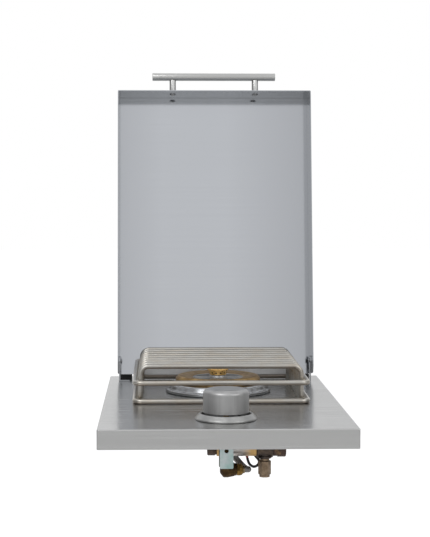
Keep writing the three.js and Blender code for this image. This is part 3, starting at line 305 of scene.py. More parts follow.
def begin_casting(name, color, second_tone, rough, grain, bump):
    """A finish with sandy grain and broad patches of a second colour, and its tone and gloss so far."""
    finish = Finish(name)
    finish.bump(finish.noise(grain, 3.0, 0.6), bump, 0.00012)
    patches = finish.noise(70, 5.0, 0.65, (3, 8, 2))
    tone = finish.second_tone(patches, color, second_tone, 1.0, 0.4, 0.62)
    return finish, tone, finish.ranged(patches, *rough, 0.35, 0.65)


def cast_metal(name, color, second_tone, rough=(0.4, 0.62), grain=700.0, bump=0.25):
    """A casting or forging with small dark specks."""
    finish, tone, gloss = begin_casting(name, color, second_tone, rough, grain, bump)
    specks = finish.noise(420, 2.0, 0.5, (7, 1, 4))
    return finish.done(finish.second_tone(specks, tone, shade(color, 0.55), 0.45, 0.5, 0.75), gloss)


def casting_with_painted_shade():
    """Grey casting, with shade painted darker down in the air ways than on the arms and the rim."""
    finish, tone, gloss = begin_casting("burner_casting", (0.50, 0.51, 0.52), (0.42, 0.43, 0.44),
                                        (0.34, 0.5), 700.0, 0.2)
    # Painted shade: darker below 20 mm above the deck, most below 6 mm.
    return finish.done(finish.mix(deck_height(finish, 0.86, 0.0, 6, 20), tone, (0.10, 0.10, 0.105)), gloss)


def cap_metal():
    """Bright orange brass, with shade painted dark inside the flame holes."""
    finish, tone, gloss = begin_casting("cap_brass", (1.0, 0.66, 0.25), (0.84, 0.52, 0.18),
                                        (0.2, 0.34), 900.0, 0.05)
    # Painted shade: dark inside the cap's wall, between 25.2 and 30.4 mm above the deck.
    inside = finish.math("LESS_THAN", away_from_burner(finish), 0.0121)
    inside = finish.math("MULTIPLY", inside, deck_height(finish, 0.0, 1.0, 25.2, 25.8))
    inside = finish.math("MULTIPLY", inside, deck_height(finish, 1.0, 0.0, 29.6, 30.4))
    return finish.done(finish.mix(inside, tone, (0.03, 0.02, 0.01)), gloss, 0.6)


def pipe_steel():
    """Grey pipe with yellow brazing where it enters the fittings."""
    finish, tone, gloss = begin_casting("pipe_steel", (0.60, 0.57, 0.54), (0.48, 0.44, 0.40),
                                        (0.36, 0.5), 900.0, 0.1)
    across = finish.axis("X")
    ends = finish.math("ADD", finish.ranged(across, 1.0, 0.0, -0.008, -0.006),
                       finish.ranged(across, 0.0, 1.0, 0.022, 0.034))
    return finish.done(finish.mix(ends, tone, (0.55, 0.36, 0.15)), gloss)


def rod_metal():
    """Polished rod of the grate, with warm heat marks, an underside painted browner and darker as shade, and
    the rear rail painted dark as shade.
    """
    finish = Finish("grate_rod_steel")
    lines = finish.noise((24, 900, 900), 3.0, 0.6)
    marks = finish.noise(38, 4.0, 0.6, (2, 7, 5))
    tone = finish.second_tone(lines, (0.375, 0.365, 0.335), (0.46, 0.445, 0.415))
    tone = finish.second_tone(marks, tone, (0.42, 0.37, 0.30), 0.55, 0.42, 0.68)
    # Painted shade: downward faces turn browner and darker.
    tone = finish.mix(finish.ranged(finish.normal("Z"), 0.75, 0.0, -0.85, 0.05), tone, (0.27, 0.20, 0.15))
    # Painted shade on the lower ring's rear rail, behind the burner and below 12 mm.
    rear = finish.math("MULTIPLY", finish.ranged(finish.axis("Y"), 0.0, 1.0, 0.445, 0.452),
                       deck_height(finish, 1.0, 0.0, 8, 12))
    finish.bump(lines, 0.05, 0.00004)
    return finish.done(finish.mix(rear, tone, (0.16, 0.14, 0.12)), finish.ranged(lines, 0.24, 0.38))


def bright_chrome(name, color, rough, ripples):
    """Plated metal with a thin darker film and a slightly rippled mirror."""
    finish = Finish(name)
    film = finish.noise(35, 4.0, 0.6, (4, 1, 6))
    finish.bump(finish.noise(130, 2.0, 0.5), ripples, 0.0006)
    return finish.done(finish.second_tone(film, color, shade(color, 0.8), 0.5), finish.ranged(film, *rough))


def ring_brass():
    """Satin brown brass with turning marks, darker patches of heat and a few pale rubs."""
    finish = Finish("burner_ring_brass")
    patches = finish.noise(75, 4.0, 0.6)
    rubs = finish.noise(260, 3.0, 0.6, (3, 3, 3))
    tone = finish.second_tone(patches, (0.50, 0.335, 0.145), (0.33, 0.21, 0.095), 1.0, 0.38, 0.64)
    tone = finish.second_tone(rubs, tone, (0.66, 0.47, 0.22), 0.5, 0.55, 0.78)
    finish.bump(finish.math("SINE", finish.math("MULTIPLY", away_from_burner(finish), 9000.0)), 0.05, 0.00003)
    return finish.done(tone, finish.ranged(patches, 0.3, 0.46))


def zinc_plate():
    """Zinc plate with a passivated film that drifts between pale green, blue and straw."""
    finish = Finish("zinc_plate")
    film = finish.noise(42, 3.0, 0.6)
    other = finish.noise(90, 3.0, 0.6, (6, 2, 1))
    tone = finish.second_tone(film, (0.34, 0.47, 0.445), (0.53, 0.59, 0.585), 1.0, 0.38, 0.62)
    tone = finish.second_tone(other, tone, (0.50, 0.46, 0.50), 0.4, 0.5, 0.72)
    finish.bump(finish.noise(900, 2.0, 0.5), 0.05, 0.00004)
    return finish.done(tone, finish.ranged(film, 0.3, 0.45))


def heated_brass(name, brown, yellow, start=0.46, end=0.70):
    """Old brass fittings: dark brown over yellow that shows in patches."""
    finish = Finish(name)
    patches = finish.noise(95, 5.0, 0.68)
    fine = finish.noise(620, 3.0, 0.6, (2, 2, 9))
    tone = finish.second_tone(patches, brown, yellow, 1.0, start, end)
    tone = finish.second_tone(fine, tone, shade(brown, 0.4), 0.6, 0.5, 0.75)
    finish.bump(fine, 0.15, 0.0001)
    return finish.done(tone, finish.ranged(patches, 0.55, 0.34, 0.4, 0.66))


def soft_black(name, color, rough, grain=500.0):
    """Rubber or plastic, a little paler where dust lies on it."""
    finish = Finish(name)
    dust = finish.noise(55, 4.0, 0.6)
    tone = finish.second_tone(dust, color, tuple(c * 1.8 + 0.006 for c in color), 0.6, 0.45, 0.75)
    finish.bump(finish.noise(grain, 2.0, 0.5, (1, 2, 3)), 0.12, 0.0001)
    return finish.done(tone, finish.ranged(dust, rough - 0.06, rough + 0.08), 0.0)


def glazed():
    """White porcelain with a thin glaze."""
    finish = Finish("electrode_porcelain")
    body = finish.noise(220, 3.0, 0.5)
    finish.bump(body, 0.04, 0.0001)
    return finish.done(finish.second_tone(body, (0.80, 0.77, 0.70), (0.70, 0.66, 0.58)),
                       finish.ranged(body, 0.14, 0.26), 0.0, 0.3)


DECK_STEEL = brushed_sheet("deck_steel", (0.475, 0.475, 0.468), (0.19, 0.27), 0.045, 0.03, painted_side_shade=0.78)
LID_STEEL = brushed_sheet("lid_steel", (0.485, 0.50, 0.522), (0.09, 0.13), 0.012, 0.012, 0.2, True)
HEM_STEEL = brushed_sheet("hem_steel", (0.64, 0.645, 0.655), (0.30, 0.40))
HANDLE_STEEL = brushed_sheet("handle_steel", (0.475, 0.475, 0.465), (0.22, 0.34))
KNOB_STEEL = turned_metal("knob_steel", (0.38, 0.38, 0.377), (0.34, 0.48), haze=0.15)
BEZEL_STEEL = turned_metal("bezel_steel", (0.365, 0.367, 0.36), (0.28, 0.40), haze=0.12)
FASTENER_STEEL = turned_metal("fastener_steel", (0.46, 0.465, 0.47), (0.2, 0.34), (700, 700, 700))
ROD_STEEL = rod_metal()
DISH_CHROME = bright_chrome("dish_chrome", (0.44, 0.45, 0.465), (0.18, 0.26), 0.14)
SLEEVE_CHROME = bright_chrome("sleeve_chrome", (0.24, 0.18, 0.10), (0.16, 0.26), 0.1)
BURNER_CASTING = casting_with_painted_shade()
JET_CASTING = cast_metal("jet_casting", (0.40, 0.41, 0.42), (0.30, 0.31, 0.32))
RING_BRASS = ring_brass()
CAP_BRASS = cap_metal()
JET_BRASS = cast_metal("jet_brass", (0.74, 0.50, 0.19), (0.62, 0.40, 0.14), (0.2, 0.36), 900.0, 0.05)
NUT_BRASS = cast_metal("nut_brass", (0.52, 0.35, 0.15), (0.38, 0.25, 0.11), (0.3, 0.45), 900.0, 0.08)
VALVE_BRASS = heated_brass("valve_brass", (0.06, 0.037, 0.017), (0.17, 0.105, 0.04))
UNION_BRASS = heated_brass("union_brass", (0.13, 0.08, 0.025), (0.34, 0.21, 0.06), 0.38, 0.62)
INLET_BRASS = heated_brass("inlet_brass", (0.20, 0.145, 0.095), (0.30, 0.22, 0.15), 0.40, 0.66)
END_BRASS = heated_brass("end_brass", (0.085, 0.057, 0.047), (0.30, 0.19, 0.09), 0.52, 0.72)
DARK_FITTING = cast_metal("dark_fitting", (0.060, 0.050, 0.048), (0.135, 0.10, 0.075), (0.38, 0.6),
                          800.0, 0.2)
GREY_PIPE = cast_metal("grey_pipe", (0.25, 0.24, 0.23), (0.17, 0.155, 0.14), (0.36, 0.5), 900.0, 0.1)
PIPE_STEEL = pipe_steel()
ZINC = zinc_plate()
PAD_RUBBER = soft_black("pad_rubber", (0.012, 0.012, 0.012), 0.75)
LEAD_RUBBER = soft_black("lead_rubber", (0.010, 0.010, 0.011), 0.5)
LEAD_RED = soft_black("lead_red", (0.26, 0.012, 0.016), 0.5)
MODULE_PLASTIC = soft_black("module_plastic", (0.016, 0.016, 0.017), 0.5, 900.0)
PORCELAIN = glazed()


# Making meshes


def finished(name, mesh, body, material, stands_for=(), sharp=38.0):
    """Names a mesh and its object, smooths it up to the given angle, and seats it on its body."""
    mesh.name = name
    piece = placed(name, mesh)
    mesh.materials.clear()
    mesh.materials.append(material)
    mesh.shade_smooth()
    mesh.set_sharp_from_angle(angle=math.radians(sharp))
    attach(piece, body)
    if stands_for:
        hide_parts(*stands_for)
    return piece


def mesh_of(bm, matrix=STAY):
    bm.transform(matrix)
    bmesh.ops.remove_doubles(bm, verts=bm.verts, dist=1e-7)
    bmesh.ops.recalc_face_normals(bm, faces=bm.faces)
    mesh = bpy.data.meshes.new("shape")
    bm.to_mesh(mesh)
    bm.free()
    return mesh


def add_band(bm, first, second):
    """Joins two rows of as many points with a closed band of faces."""
    for j, corner in enumerate(first):
        k = (j + 1) % len(first)
        bm.faces.new((corner, first[k], second[k], second[j]))


def softened(profile, radius, steps=3):
    """Rounds the corners of a closed profile, except those on the axis."""
    share = 0.42
    made = []
    for i, (r, z) in enumerate(profile):
        here = Vector((r, z))
        to_before = Vector(profile[i - 1]) - here
        to_after = Vector(profile[(i + 1) % len(profile)]) - here
        if min(r, to_before.length, to_after.length) < TINY:
            made.append((r, z))
            continue
        reach = min(radius, share * to_before.length, share * to_after.length)
        start = here + to_before.normalized() * reach
        end = here + to_after.normalized() * reach
        for step in range(steps + 1):
            t = step / steps
            point = (1 - t) ** 2 * start + 2 * t * (1 - t) * here + t * t * end
            made.append((point.x, point.y))
    return made


def add_turned(bm, profile, count, matrix=STAY):
    """Adds a closed profile turned round local Z."""
    rings = []
    for r, z in profile:
        if r < TINY:
            rings.append([bm.verts.new(matrix @ Vector((0, 0, z)))])
            continue
        angles = [2 * math.pi * i / count for i in range(count)]
        rings.append([bm.verts.new(matrix @ Vector((r * math.cos(a), r * math.sin(a), z)))
                      for a in angles])
    for i, ring in enumerate(rings):
        other = rings[(i + 1) % len(rings)]
        if len(ring) > 1 and len(other) > 1:
            add_band(bm, ring, other)
        elif len(ring) > 1 or len(other) > 1:
            wide, point = (ring, other[0]) if len(ring) > 1 else (other, ring[0])
            for j in range(count):
                bm.faces.new((wide[j], wide[(j + 1) % count], point))


def turned(matrix, *parts, steps=3):
    """A mesh of turned profiles: each part is a profile, its softening, its count and its own place."""
    bm = bmesh.new()
    for profile, soft, count, *own in parts:
        add_turned(bm, softened(profile, soft, steps) if soft else profile, count, *own)
    return mesh_of(bm, matrix)


def block(low, high, soft=0.0, matrix=STAY):
    """A box, with softened edges where that is asked for."""
    bm = bmesh.new()
    bmesh.ops.create_cube(bm, size=1.0)
    bmesh.ops.scale(bm, vec=Vector(high) - Vector(low), verts=bm.verts)
    bmesh.ops.translate(bm, vec=(Vector(high) + Vector(low)) / 2, verts=bm.verts)
    if soft:
        bmesh.ops.bevel(bm, geom=list(bm.edges), offset=soft, segments=3, profile=0.5, affect="EDGES")
    return mesh_of(bm, matrix)


def swept(matrix, points, radius, sides, closed=False):
    """A round rod along points, with a frame carried along without twisting, and chamfered ends."""
    end_taper, end_draw = 0.35, 0.21
    bm = bmesh.new()
    last = len(points) - 1
    tangents = []
    for i in range(last + 1):
        if closed:
            step = points[(i + 1) % len(points)] - points[i - 1]
        else:
            step = points[min(i + 1, last)] - points[max(i - 1, 0)]
        tangents.append(step.normalized())
    side = tangents[0].orthogonal().normalized()
    rings = []
    for i, (point, tangent) in enumerate(zip(points, tangents)):
        if i:
            side = (side - tangent * side.dot(tangent)).normalized()
        other = tangent.cross(side)
        angles = [2 * math.pi * j / sides for j in range(sides)]
        rings.append([bm.verts.new(point + (side * math.cos(a) + other * math.sin(a)) * radius)
                      for a in angles])
    for ring, following in zip(rings, rings[1:] + rings[:1] if closed else rings[1:]):
        add_band(bm, ring, following)
    for i, sign in () if closed else ((0, -1), (-1, 1)):
        inner = [bm.verts.new(v.co + (points[i] - v.co) * end_taper) for v in rings[i]]
        add_band(bm, rings[i], inner)
        bm.faces.new(inner)
        for v in rings[i]:
            v.co = v.co - tangents[i] * sign * radius * end_draw
    return mesh_of(bm, matrix)


def bent_loop(corners, bend, steps=10):
    """Points round a closed loop of straight runs with round bends."""
    corners = [Vector(c) for c in corners]
    made = []
    for i, corner in enumerate(corners):
        arriving = (corner - corners[i - 1]).normalized()
        leaving = (corners[(i + 1) % len(corners)] - corner).normalized()
        centre = corner - arriving * bend + leaving * bend
        for step in range(steps + 1):
            angle = step / steps * math.pi / 2
            made.append(centre - leaving * bend * math.cos(angle) + arriving * bend * math.sin(angle))
    return made


def smooth_line(points, steps=8):
    """A centripetal spline through the points."""
    points = [Vector(p) for p in points]
    padded = [points[0] * 2 - points[1], *points, points[-1] * 2 - points[-2]]
    made = []
    for i in range(len(points) - 1):
        p0, p1, p2, p3 = padded[i:i + 4]
        d0, d1, d2 = (max(math.sqrt((b - a).length), 1e-4) for a, b in ((p0, p1), (p1, p2), (p2, p3)))
        t1 = ((p1 - p0) / d0 - (p2 - p0) / (d0 + d1) + (p2 - p1) / d1) * d1
        t2 = ((p2 - p1) / d1 - (p3 - p1) / (d1 + d2) + (p3 - p2) / d2) * d1
        for step in range(steps):
            t = step / steps
            a = 2 * t ** 3 - 3 * t ** 2 + 1
            b = t ** 3 - 2 * t ** 2 + t
            c = -2 * t ** 3 + 3 * t ** 2
            d = t ** 3 - t ** 2
            made.append(p1 * a + t1 * b + p2 * c + t2 * d)
    made.append(points[-1])
    return made


def joined(matrix, *meshes):
    """One mesh of several that may pass through each other."""
    bm = bmesh.new()
    for mesh in meshes:
        bm.from_mesh(mesh)
    return mesh_of(bm, matrix)


def evaluated_mesh(piece):
    depsgraph = bpy.context.evaluated_depsgraph_get()
    return bpy.data.meshes.new_from_object(piece.evaluated_get(depsgraph))


def cut(mesh, waste, matrix=STAY):
    """Cuts one closed mesh out of another, and moves what is left by the matrix."""
    target, tool = placed("being_cut", mesh), placed("cutter", waste)
    modifier = target.modifiers.new("cut", "BOOLEAN")
    modifier.operation = "DIFFERENCE"
    modifier.solver = "EXACT"
    modifier.object = tool
    made = evaluated_mesh(target)
    made.transform(matrix)
    for helper in (target, tool):
        bpy.data.objects.remove(helper)
    return made


# Repeated pieces, by geometry nodes


class Pattern(Nodes):
    """A geometry node tree with named inputs, run once on a few points and turned into a plain mesh.

    A node's input also takes the name of one of the tree's own inputs.
    """

    def __init__(self, name, sizes):
        super().__init__(bpy.data.node_groups.new(name, "GeometryNodeTree"))
        face = self.tree.interface
        face.new_socket("Geometry", in_out="INPUT", socket_type="NodeSocketGeometry")
        face.new_socket("Geometry", in_out="OUTPUT", socket_type="NodeSocketGeometry")
        self.ids = {}
        for label, value in sizes.items():
            kind = "NodeSocketInt" if isinstance(value, int) else "NodeSocketFloat"
            socket = face.new_socket(label, in_out="INPUT", socket_type=kind)
            socket.default_value = value
            self.ids[label] = socket.identifier
        paint = face.new_socket("Material", in_out="INPUT", socket_type="NodeSocketMaterial")
        self.ids["Material"] = paint.identifier
        self.source = self.tree.nodes.new("NodeGroupInput")
        self.sink = self.tree.nodes.new("NodeGroupOutput")

    def put(self, socket, value):
        super().put(socket, self.source.outputs[value] if isinstance(value, str) else value)

    def round_bar(self, line, radius, sides):
        """Gives a curve a round section and closed ends."""
        section = self.add("GeometryNodeCurvePrimitiveCircle", {"Resolution": sides, "Radius": radius})
        return self.add("GeometryNodeCurveToMesh", {"Curve": line, "Fill Caps": True,
                                                    "Profile Curve": section.outputs[0]}).outputs[0]

    def moved(self, geometry, **how):
        inputs = {"Geometry": geometry, **{key.title(): value for key, value in how.items()}}
        return self.add("GeometryNodeTransform", inputs).outputs[0]

    def repeat(self, points, shape, **how):
        """Sets a shape on each point, and ends the tree."""
        inputs = {"Points": points, "Instance": shape, **{key.title(): value for key, value in how.items()}}
        self.end(self.add("GeometryNodeInstanceOnPoints", inputs).outputs[0])

    def end(self, geometry):
        real = self.add("GeometryNodeRealizeInstances", {"Geometry": geometry})
        paint = self.add("GeometryNodeSetMaterial", {"Geometry": real.outputs[0], "Material": "Material"})
        self.put(self.sink.inputs[0], paint.outputs[0])

    def run(self, points, sizes, material, matrix, edges=()):
        """Runs the tree on points, and gives the plain mesh, moved by the matrix."""
        start = bpy.data.meshes.new("points")
        start.from_pydata([tuple(p) for p in points], edges, [])
        carrier = placed("carrier", start)
        modifier = carrier.modifiers.new("pattern", "NODES")
        modifier.node_group = self.tree
        for label, value in {**sizes, "Material": material}.items():
            modifier[self.ids[label]] = value
        made = evaluated_mesh(carrier)
        carrier.modifiers.remove(modifier)
        bpy.data.objects.remove(carrier)
        bm = bmesh.new()
        bm.from_mesh(made)
        bmesh.ops.remove_doubles(bm, verts=bm.verts, dist=1e-5)
        bmesh.ops.recalc_face_normals(bm, faces=bm.faces)
        bm.transform(matrix)
        bm.to_mesh(made)
        bm.free()
        return made


def rod_pattern():
    """A bent rod along the given corners, repeated at one pitch."""
    bend_steps = 11
    pattern = Pattern("repeated_bent_rods", {
        "Rod radius": 4.0, "Bend radius": 19.0, "Count": 9, "Pitch": 26.0, "First place": 0.0})
    line = pattern.add("GeometryNodeMeshToCurve", {"Mesh": "Geometry"})
    bend = pattern.add("GeometryNodeFilletCurve", {"Curve": line.outputs[0], "Radius": "Bend radius",
                                                   "Limit Radius": True}, mode="POLY")
    for socket in bend.inputs:
        if socket.name == "Count":
            socket.default_value = bend_steps
    places = pattern.add("GeometryNodeMeshLine", {
        "Count": "Count", "Start Location": pattern.vector(y="First place"),
        "Offset": pattern.vector(y="Pitch")}, mode="OFFSET")
    pattern.repeat(places.outputs[0], pattern.round_bar(bend.outputs[0], "Rod radius", 24))
    return pattern


def head_pattern():
    """Screw, rivet or nut heads of a given number of sides, standing on points with a domed top."""
    pattern = Pattern("heads_on_points", {"Radius": 4.0, "Height": 2.5, "Sides": 32, "Crown": 0.7,
                                          "Shank radius": 2.0, "Shank length": 6.0})

    def disc():
        sizes = {"Vertices": "Sides", "Radius": "Radius"}
        return pattern.add("GeometryNodeMeshCircle", sizes, fill_type="NGON").outputs[0]

    def raised(mesh, share, top=True):
        rise = pattern.math("MULTIPLY", "Height", share)
        return pattern.add("GeometryNodeExtrudeMesh", {"Mesh": mesh, "Selection": top, "Offset Scale": rise,
                                                       "Individual": False}, mode="FACES").outputs

    def drawn_in(made, scale):
        return pattern.add("GeometryNodeScaleElements", {
            "Geometry": made["Mesh"], "Selection": made["Top"], "Scale": scale}, domain="FACE").outputs[0]

    wall = raised(disc(), 0.55)
    edge = raised(wall["Mesh"], 0.3, wall["Top"])
    narrower = pattern.math("ADD", pattern.math("MULTIPLY", "Crown", 0.35), 0.65)
    crown = raised(drawn_in(edge, narrower), 0.15, edge["Top"])
    shank = pattern.add("GeometryNodeMeshCylinder", {
        "Vertices": 20, "Radius": "Shank radius", "Depth": "Shank length"})
    down = pattern.vector(z=pattern.math("MULTIPLY", "Shank length", -0.5))
    whole = pattern.add("GeometryNodeJoinGeometry")
    for part in (drawn_in(crown, "Crown"), disc(), pattern.moved(shank.outputs["Mesh"], translation=down)):
        pattern.put(whole.inputs[0], part)
    pattern.repeat("Geometry", whole.outputs[0])
    return pattern


def coil_pattern():
    """A helical spring, standing on local Z."""
    pattern = Pattern("helical_spring", {"Coil radius": 6.8, "Wire radius": 0.8, "Turns": 5.0, "Rise": 13.6})
    line = pattern.add("GeometryNodeCurveSpiral", {
        "Resolution": 40, "Rotations": "Turns", "Start Radius": "Coil radius", "End Radius": "Coil radius",
        "Height": "Rise"})
    pattern.end(pattern.round_bar(line.outputs[0], "Wire radius", 12))
    return pattern


def port_pattern():
    """Round or four-sided openings, pointing outwards round local Z, used to cut a ring."""
    pattern = Pattern("openings_round_a_ring", {
        "Count": 24, "Circle radius": 60.0, "Place in height": 16.0, "Opening radius": 1.2,
        "Opening depth": 7.0, "Sides": 4, "Turn": 0.0})
    tool = pattern.add("GeometryNodeMeshCylinder", {
        "Vertices": "Sides", "Radius": "Opening radius", "Depth": "Opening depth"})
    laid = pattern.moved(tool.outputs["Mesh"], rotation=pattern.vector(x="Turn", y=math.pi / 2))
    ring = pattern.add("GeometryNodeCurvePrimitiveCircle", {"Resolution": "Count", "Radius": "Circle radius"})
    lifted = pattern.moved(ring.outputs[0], translation=pattern.vector(z="Place in height"))
    dots = pattern.add("GeometryNodeCurveToPoints", {"Curve": lifted}, mode="EVALUATED")
    index = pattern.add("GeometryNodeInputIndex").outputs[0]
    angle = pattern.math("MULTIPLY", index, pattern.math("DIVIDE", 2 * math.pi, "Count"))
    pattern.repeat(dots.outputs[0], laid, rotation=pattern.vector(z=angle))
    return pattern


def bead_pattern():
    """Small weld beads on points, each a stretched ball."""
    pattern = Pattern("weld_beads", {"Bead radius": 1.6, "Stretch": 1.5})
    ball = pattern.add("GeometryNodeMeshIcoSphere", {"Radius": "Bead radius", "Subdivisions": 3})
    pattern.repeat("Geometry", pattern.moved(ball.outputs["Mesh"], scale=pattern.vector(1.0, 1.0, "Stretch")))
    return pattern


HEADS = head_pattern()
OPENINGS = port_pattern()


def heads(name, places, matrix, body, sizes, stands_for):
    mesh = HEADS.run(places, sizes, FASTENER_STEEL, matrix)
    return finished(name, mesh, body, FASTENER_STEEL, stands_for, 30.0)


# Camera


def add_camera():
    """The photograph's view: a long lens from the front left, a little above the deck."""
    sensor, photo_height, focal_length, shift = 36.0, 537, 1458.7, 15.2
    camera = placed("camera", bpy.data.cameras.new("camera"))
    camera.location = from_deck() @ Vector((-84.4, -1775.3, 298.0))
    camera.rotation_euler = (math.radians(90 - 3.227), 0.0, math.radians(-1.57))
    camera.data.sensor_width = sensor
    camera.data.lens = sensor * focal_length / photo_height
    camera.data.shift_x = shift / photo_height
    camera.data.clip_start = 0.05
    camera.data.clip_end = 60.0
    bpy.context.scene.camera = camera


# Deck, hinges and lid


def repaint(node, material):
    """Gives a carried-over solid its finish."""
    mesh = frame["nodes"][node].data
    mesh.materials.clear()
    mesh.materials.append(material)


def dress_sheet_metal():
    repaint("deck_panel", DECK_STEEL)
    repaint("lid_panel", LID_STEEL)
    repaint("lid_hem", HEM_STEEL)
    repaint("burner_strap", ZINC)
    repaint("valve_bracket", ZINC)
    for side, _ in SIDES:
        repaint("hinge_bracket_" + side, LID_STEEL)
        repaint("lid_stop_pad_" + side, PAD_RUBBER)


def add_hinge_pins():
    """Headed pins through the ears and the lid's flanges."""
    end, length, head = 148.2, 3.5, 1.0
    profile = [(0, 0), (3, 0), (3, length), (4, length), (4, length + head), (0, length + head)]
    for side, sign in SIDES:
        seat = from_deck() @ facing((sign * end, PIVOT.y, PIVOT.z), (-sign, 0, 0))
        finished("pin_" + side, turned(seat, (profile, 0.5, 48)), "deck", LID_STEEL,
                 ["hinge_pin_" + side])


def add_handle():
    """Round bar, two stems saddled to it, and their screw heads inside the lid."""
    radius, saddle_radius, saddle_half, stem_radius = 5.93, 6.05, 30, 5
    y, z = LID_FRONT - HANDLE_OUT, LID_WALL / 2 + WALL_FOOT
    bar = [(0, -HANDLE_HALF), (radius, -HANDLE_HALF), (radius, HANDLE_HALF), (0, HANDLE_HALF)]
    seat = from_lid() @ facing((0, y, z), (1, 0, 0))
    finished("handle_tube", turned(seat, (bar, 0.9, 48)), "lid", HANDLE_STEEL, ["handle_bar"])
    start = LID_FRONT - SEAT_GAP
    length = start - (y + 5.4)
    stem = [(0, 0), (stem_radius, 0), (stem_radius, length), (0, length)]
    saddle = [(0, -saddle_half), (saddle_radius, -saddle_half), (saddle_radius, saddle_half),
              (0, saddle_half)]
    for side, sign in SIDES:
        post = turned(facing((sign * POST_X, start, z), (0, -1, 0)), (stem, 0.35, 48))
        waste = turned(facing((sign * POST_X, y, z), (1, 0, 0)), (saddle, 0, 64))
        finished("handle_stem_" + side, cut(post, waste, from_lid()), "lid", HANDLE_STEEL,
                 ["handle_post_" + side])
    inside = LID_FRONT + SHEET + SEAT_GAP
    seat = from_lid() @ facing((0, inside, 0), (0, 1, 0))
    flip = seat.inverted() @ from_lid()
    places = [flip @ Vector((sign * POST_X, inside, z)) for _, sign in SIDES]
    heads("handle_screw_heads", places, seat, "lid", {
        "Radius": 4.4, "Height": 1.6, "Sides": 40, "Crown": 0.6, "Shank radius": 2.4,
        "Shank length": 10.0}, ["handle_screw_left", "handle_screw_right"])


# Grate


def add_grate():
    """Nine bent rods inside two closed rings, with a weld bead on each side of every crossing."""
    leg = GRATE_WIDTH / 2 - ROD_THICKNESS - SEAT_GAP
    foot, crest, ring_x, ring_y, weld_x, weld_step = 0.4, 48.9, 119.0, 129.5, 115.25, 1.7
    numbers = range(1, ROD_COUNT + 1)
    first = -(ROD_COUNT - 1) / 2 * ROD_PITCH
    corners = [(-leg, 0, foot), (-leg, 0, crest), (leg, 0, crest), (leg, 0, foot)]
    mesh = rod_pattern().run(corners, {
        "Rod radius": ROD_RADIUS, "Bend radius": 11.0, "Count": ROD_COUNT, "Pitch": ROD_PITCH,
        "First place": first}, ROD_STEEL, from_burner(), [(0, 1), (1, 2), (2, 3)])
    finished("grate_bows", mesh, "deck", ROD_STEEL, ["grate_rod_%d" % i for i in numbers],
             50.0)
    for name, height in RING_HEIGHTS.items():
        line = bent_loop([(-ring_x, -ring_y, height), (ring_x, -ring_y, height), (ring_x, ring_y, height),
                          (-ring_x, ring_y, height)], 10.0)
        finished("grate_ring_" + name, swept(from_burner(), line, ROD_RADIUS, 24, True), "deck", ROD_STEEL,
                 ["grate_%s_ring" % name], 50.0)
    places = [(sign * weld_x, first + i * ROD_PITCH + step, height) for i in range(ROD_COUNT)
              for _, sign in SIDES for height in RING_HEIGHTS.values() for step in (-weld_step, weld_step)]
    mesh = bead_pattern().run(places, {"Bead radius": 1.3, "Stretch": 1.7}, ROD_STEEL, from_burner())
    finished("grate_welds", mesh, "deck", ROD_STEEL, (), 60.0)


# Burner


def add_dish():
    """Raised bright collar: floor, neck, flat top with the electrode's hole, flared skirt and lip."""
    profile = [(46, 0.35), (60.2, 0.35), (60.2, 12.7), (65.5, 12.7), (67.8, 11.9), (69.2, 10.4), (70.3, 7.8),
               (71.4, 5.2), (73.0, 3.9), (74.6, 3.6), (75.2, 3.0), (75.2, 0.9), (76.0, 0.8), (76.5, 1.3),
               (76.5, 4.2), (75.7, 5.0), (74.0, 5.2), (72.7, 6.2), (71.5, 8.6), (70.3, 11.2), (68.6, 13.0),
               (66, 13.65), (59.35, 13.65), (59.35, 1.3), (46, 1.3)]
    hole = [(0, 11), (3.35, 11), (3.35, 16), (0, 16)]
    bowl = turned(STAY, (profile, 0.5, 160))
    mesh = cut(bowl, turned(Matrix.Translation(ELECTRODE), (hole, 0, 48)), from_burner())
    finished("drip_collar", mesh, "deck", DISH_CHROME, ["drip_dish"], 32.0)


def add_body():
    """Grey casting: gas gallery, inner rim, hub and four flared arms."""
    shell = [(40, -20), (44, -20), (44, 1.6), (59, 1.6), (59, 13.7), (54.5, 13.7), (54.5, 6), (44, 6),
             (44, 13.7), (36.65, 13.7), (36.65, 21.3), (34.5, 21.3), (34.5, 1.6), (40, 1.3)]
    hub = [(6, -20), (13, -20), (13, 18.8), (11.5, 23.8), (0, 23.8), (0, 18.8), (6, 15.8)]
    inner, outer, arm_foot, taper = 9, 34.8, 8, 0.93
    outline = [(-11, inner), (-14.2, outer), (14.2, outer), (11, inner)]
    heights = {inner: 20.9, outer: 20.4}
    arms = bmesh.new()
    for i in range(4):
        turn = Matrix.Rotation(i * math.pi / 2, 4, "Z")
        low = [arms.verts.new(turn @ Vector((x, y, arm_foot))) for x, y in outline]
        high = [arms.verts.new(turn @ Vector((x * taper, y, heights[y]))) for x, y in outline]
        arms.faces.new(low)
        arms.faces.new(high)
        add_band(arms, low, high)
    mesh = joined(from_burner(), turned(STAY, (shell, 0.8, 128), (hub, 0.8, 64)), mesh_of(arms))
    finished("burner_casting", mesh, "deck", BURNER_CASTING, ["burner_body"])


def with_openings(ring, sizes, material):
    """Cuts openings round a ring, with the first one half a step from its right side."""
    half_step = Matrix.Rotation(math.pi / sizes["Count"], 4, "Z")
    return cut(ring, OPENINGS.run([(0, 0, 0)], sizes, material, half_step), from_burner())


def add_ring():
    """Brass ring with a crowned edge, a dished top and slots round its foot."""
    profile = [(37, 14), (61.5, 14), (61.5, 19.3), (58.4, 23.2), (55, 24), (38, 21.6), (37, 21.1)]
    mesh = with_openings(turned(STAY, (profile, 0.9, 144), steps=4), {
        "Count": 24, "Circle radius": 61.5, "Place in height": 16.2, "Opening radius": 1.5,
        "Opening depth": 6.0, "Sides": 4, "Turn": math.pi / 4}, RING_BRASS)
    finished("brass_ring", mesh, "deck", RING_BRASS, ["burner_outer_ring"], 28.0)


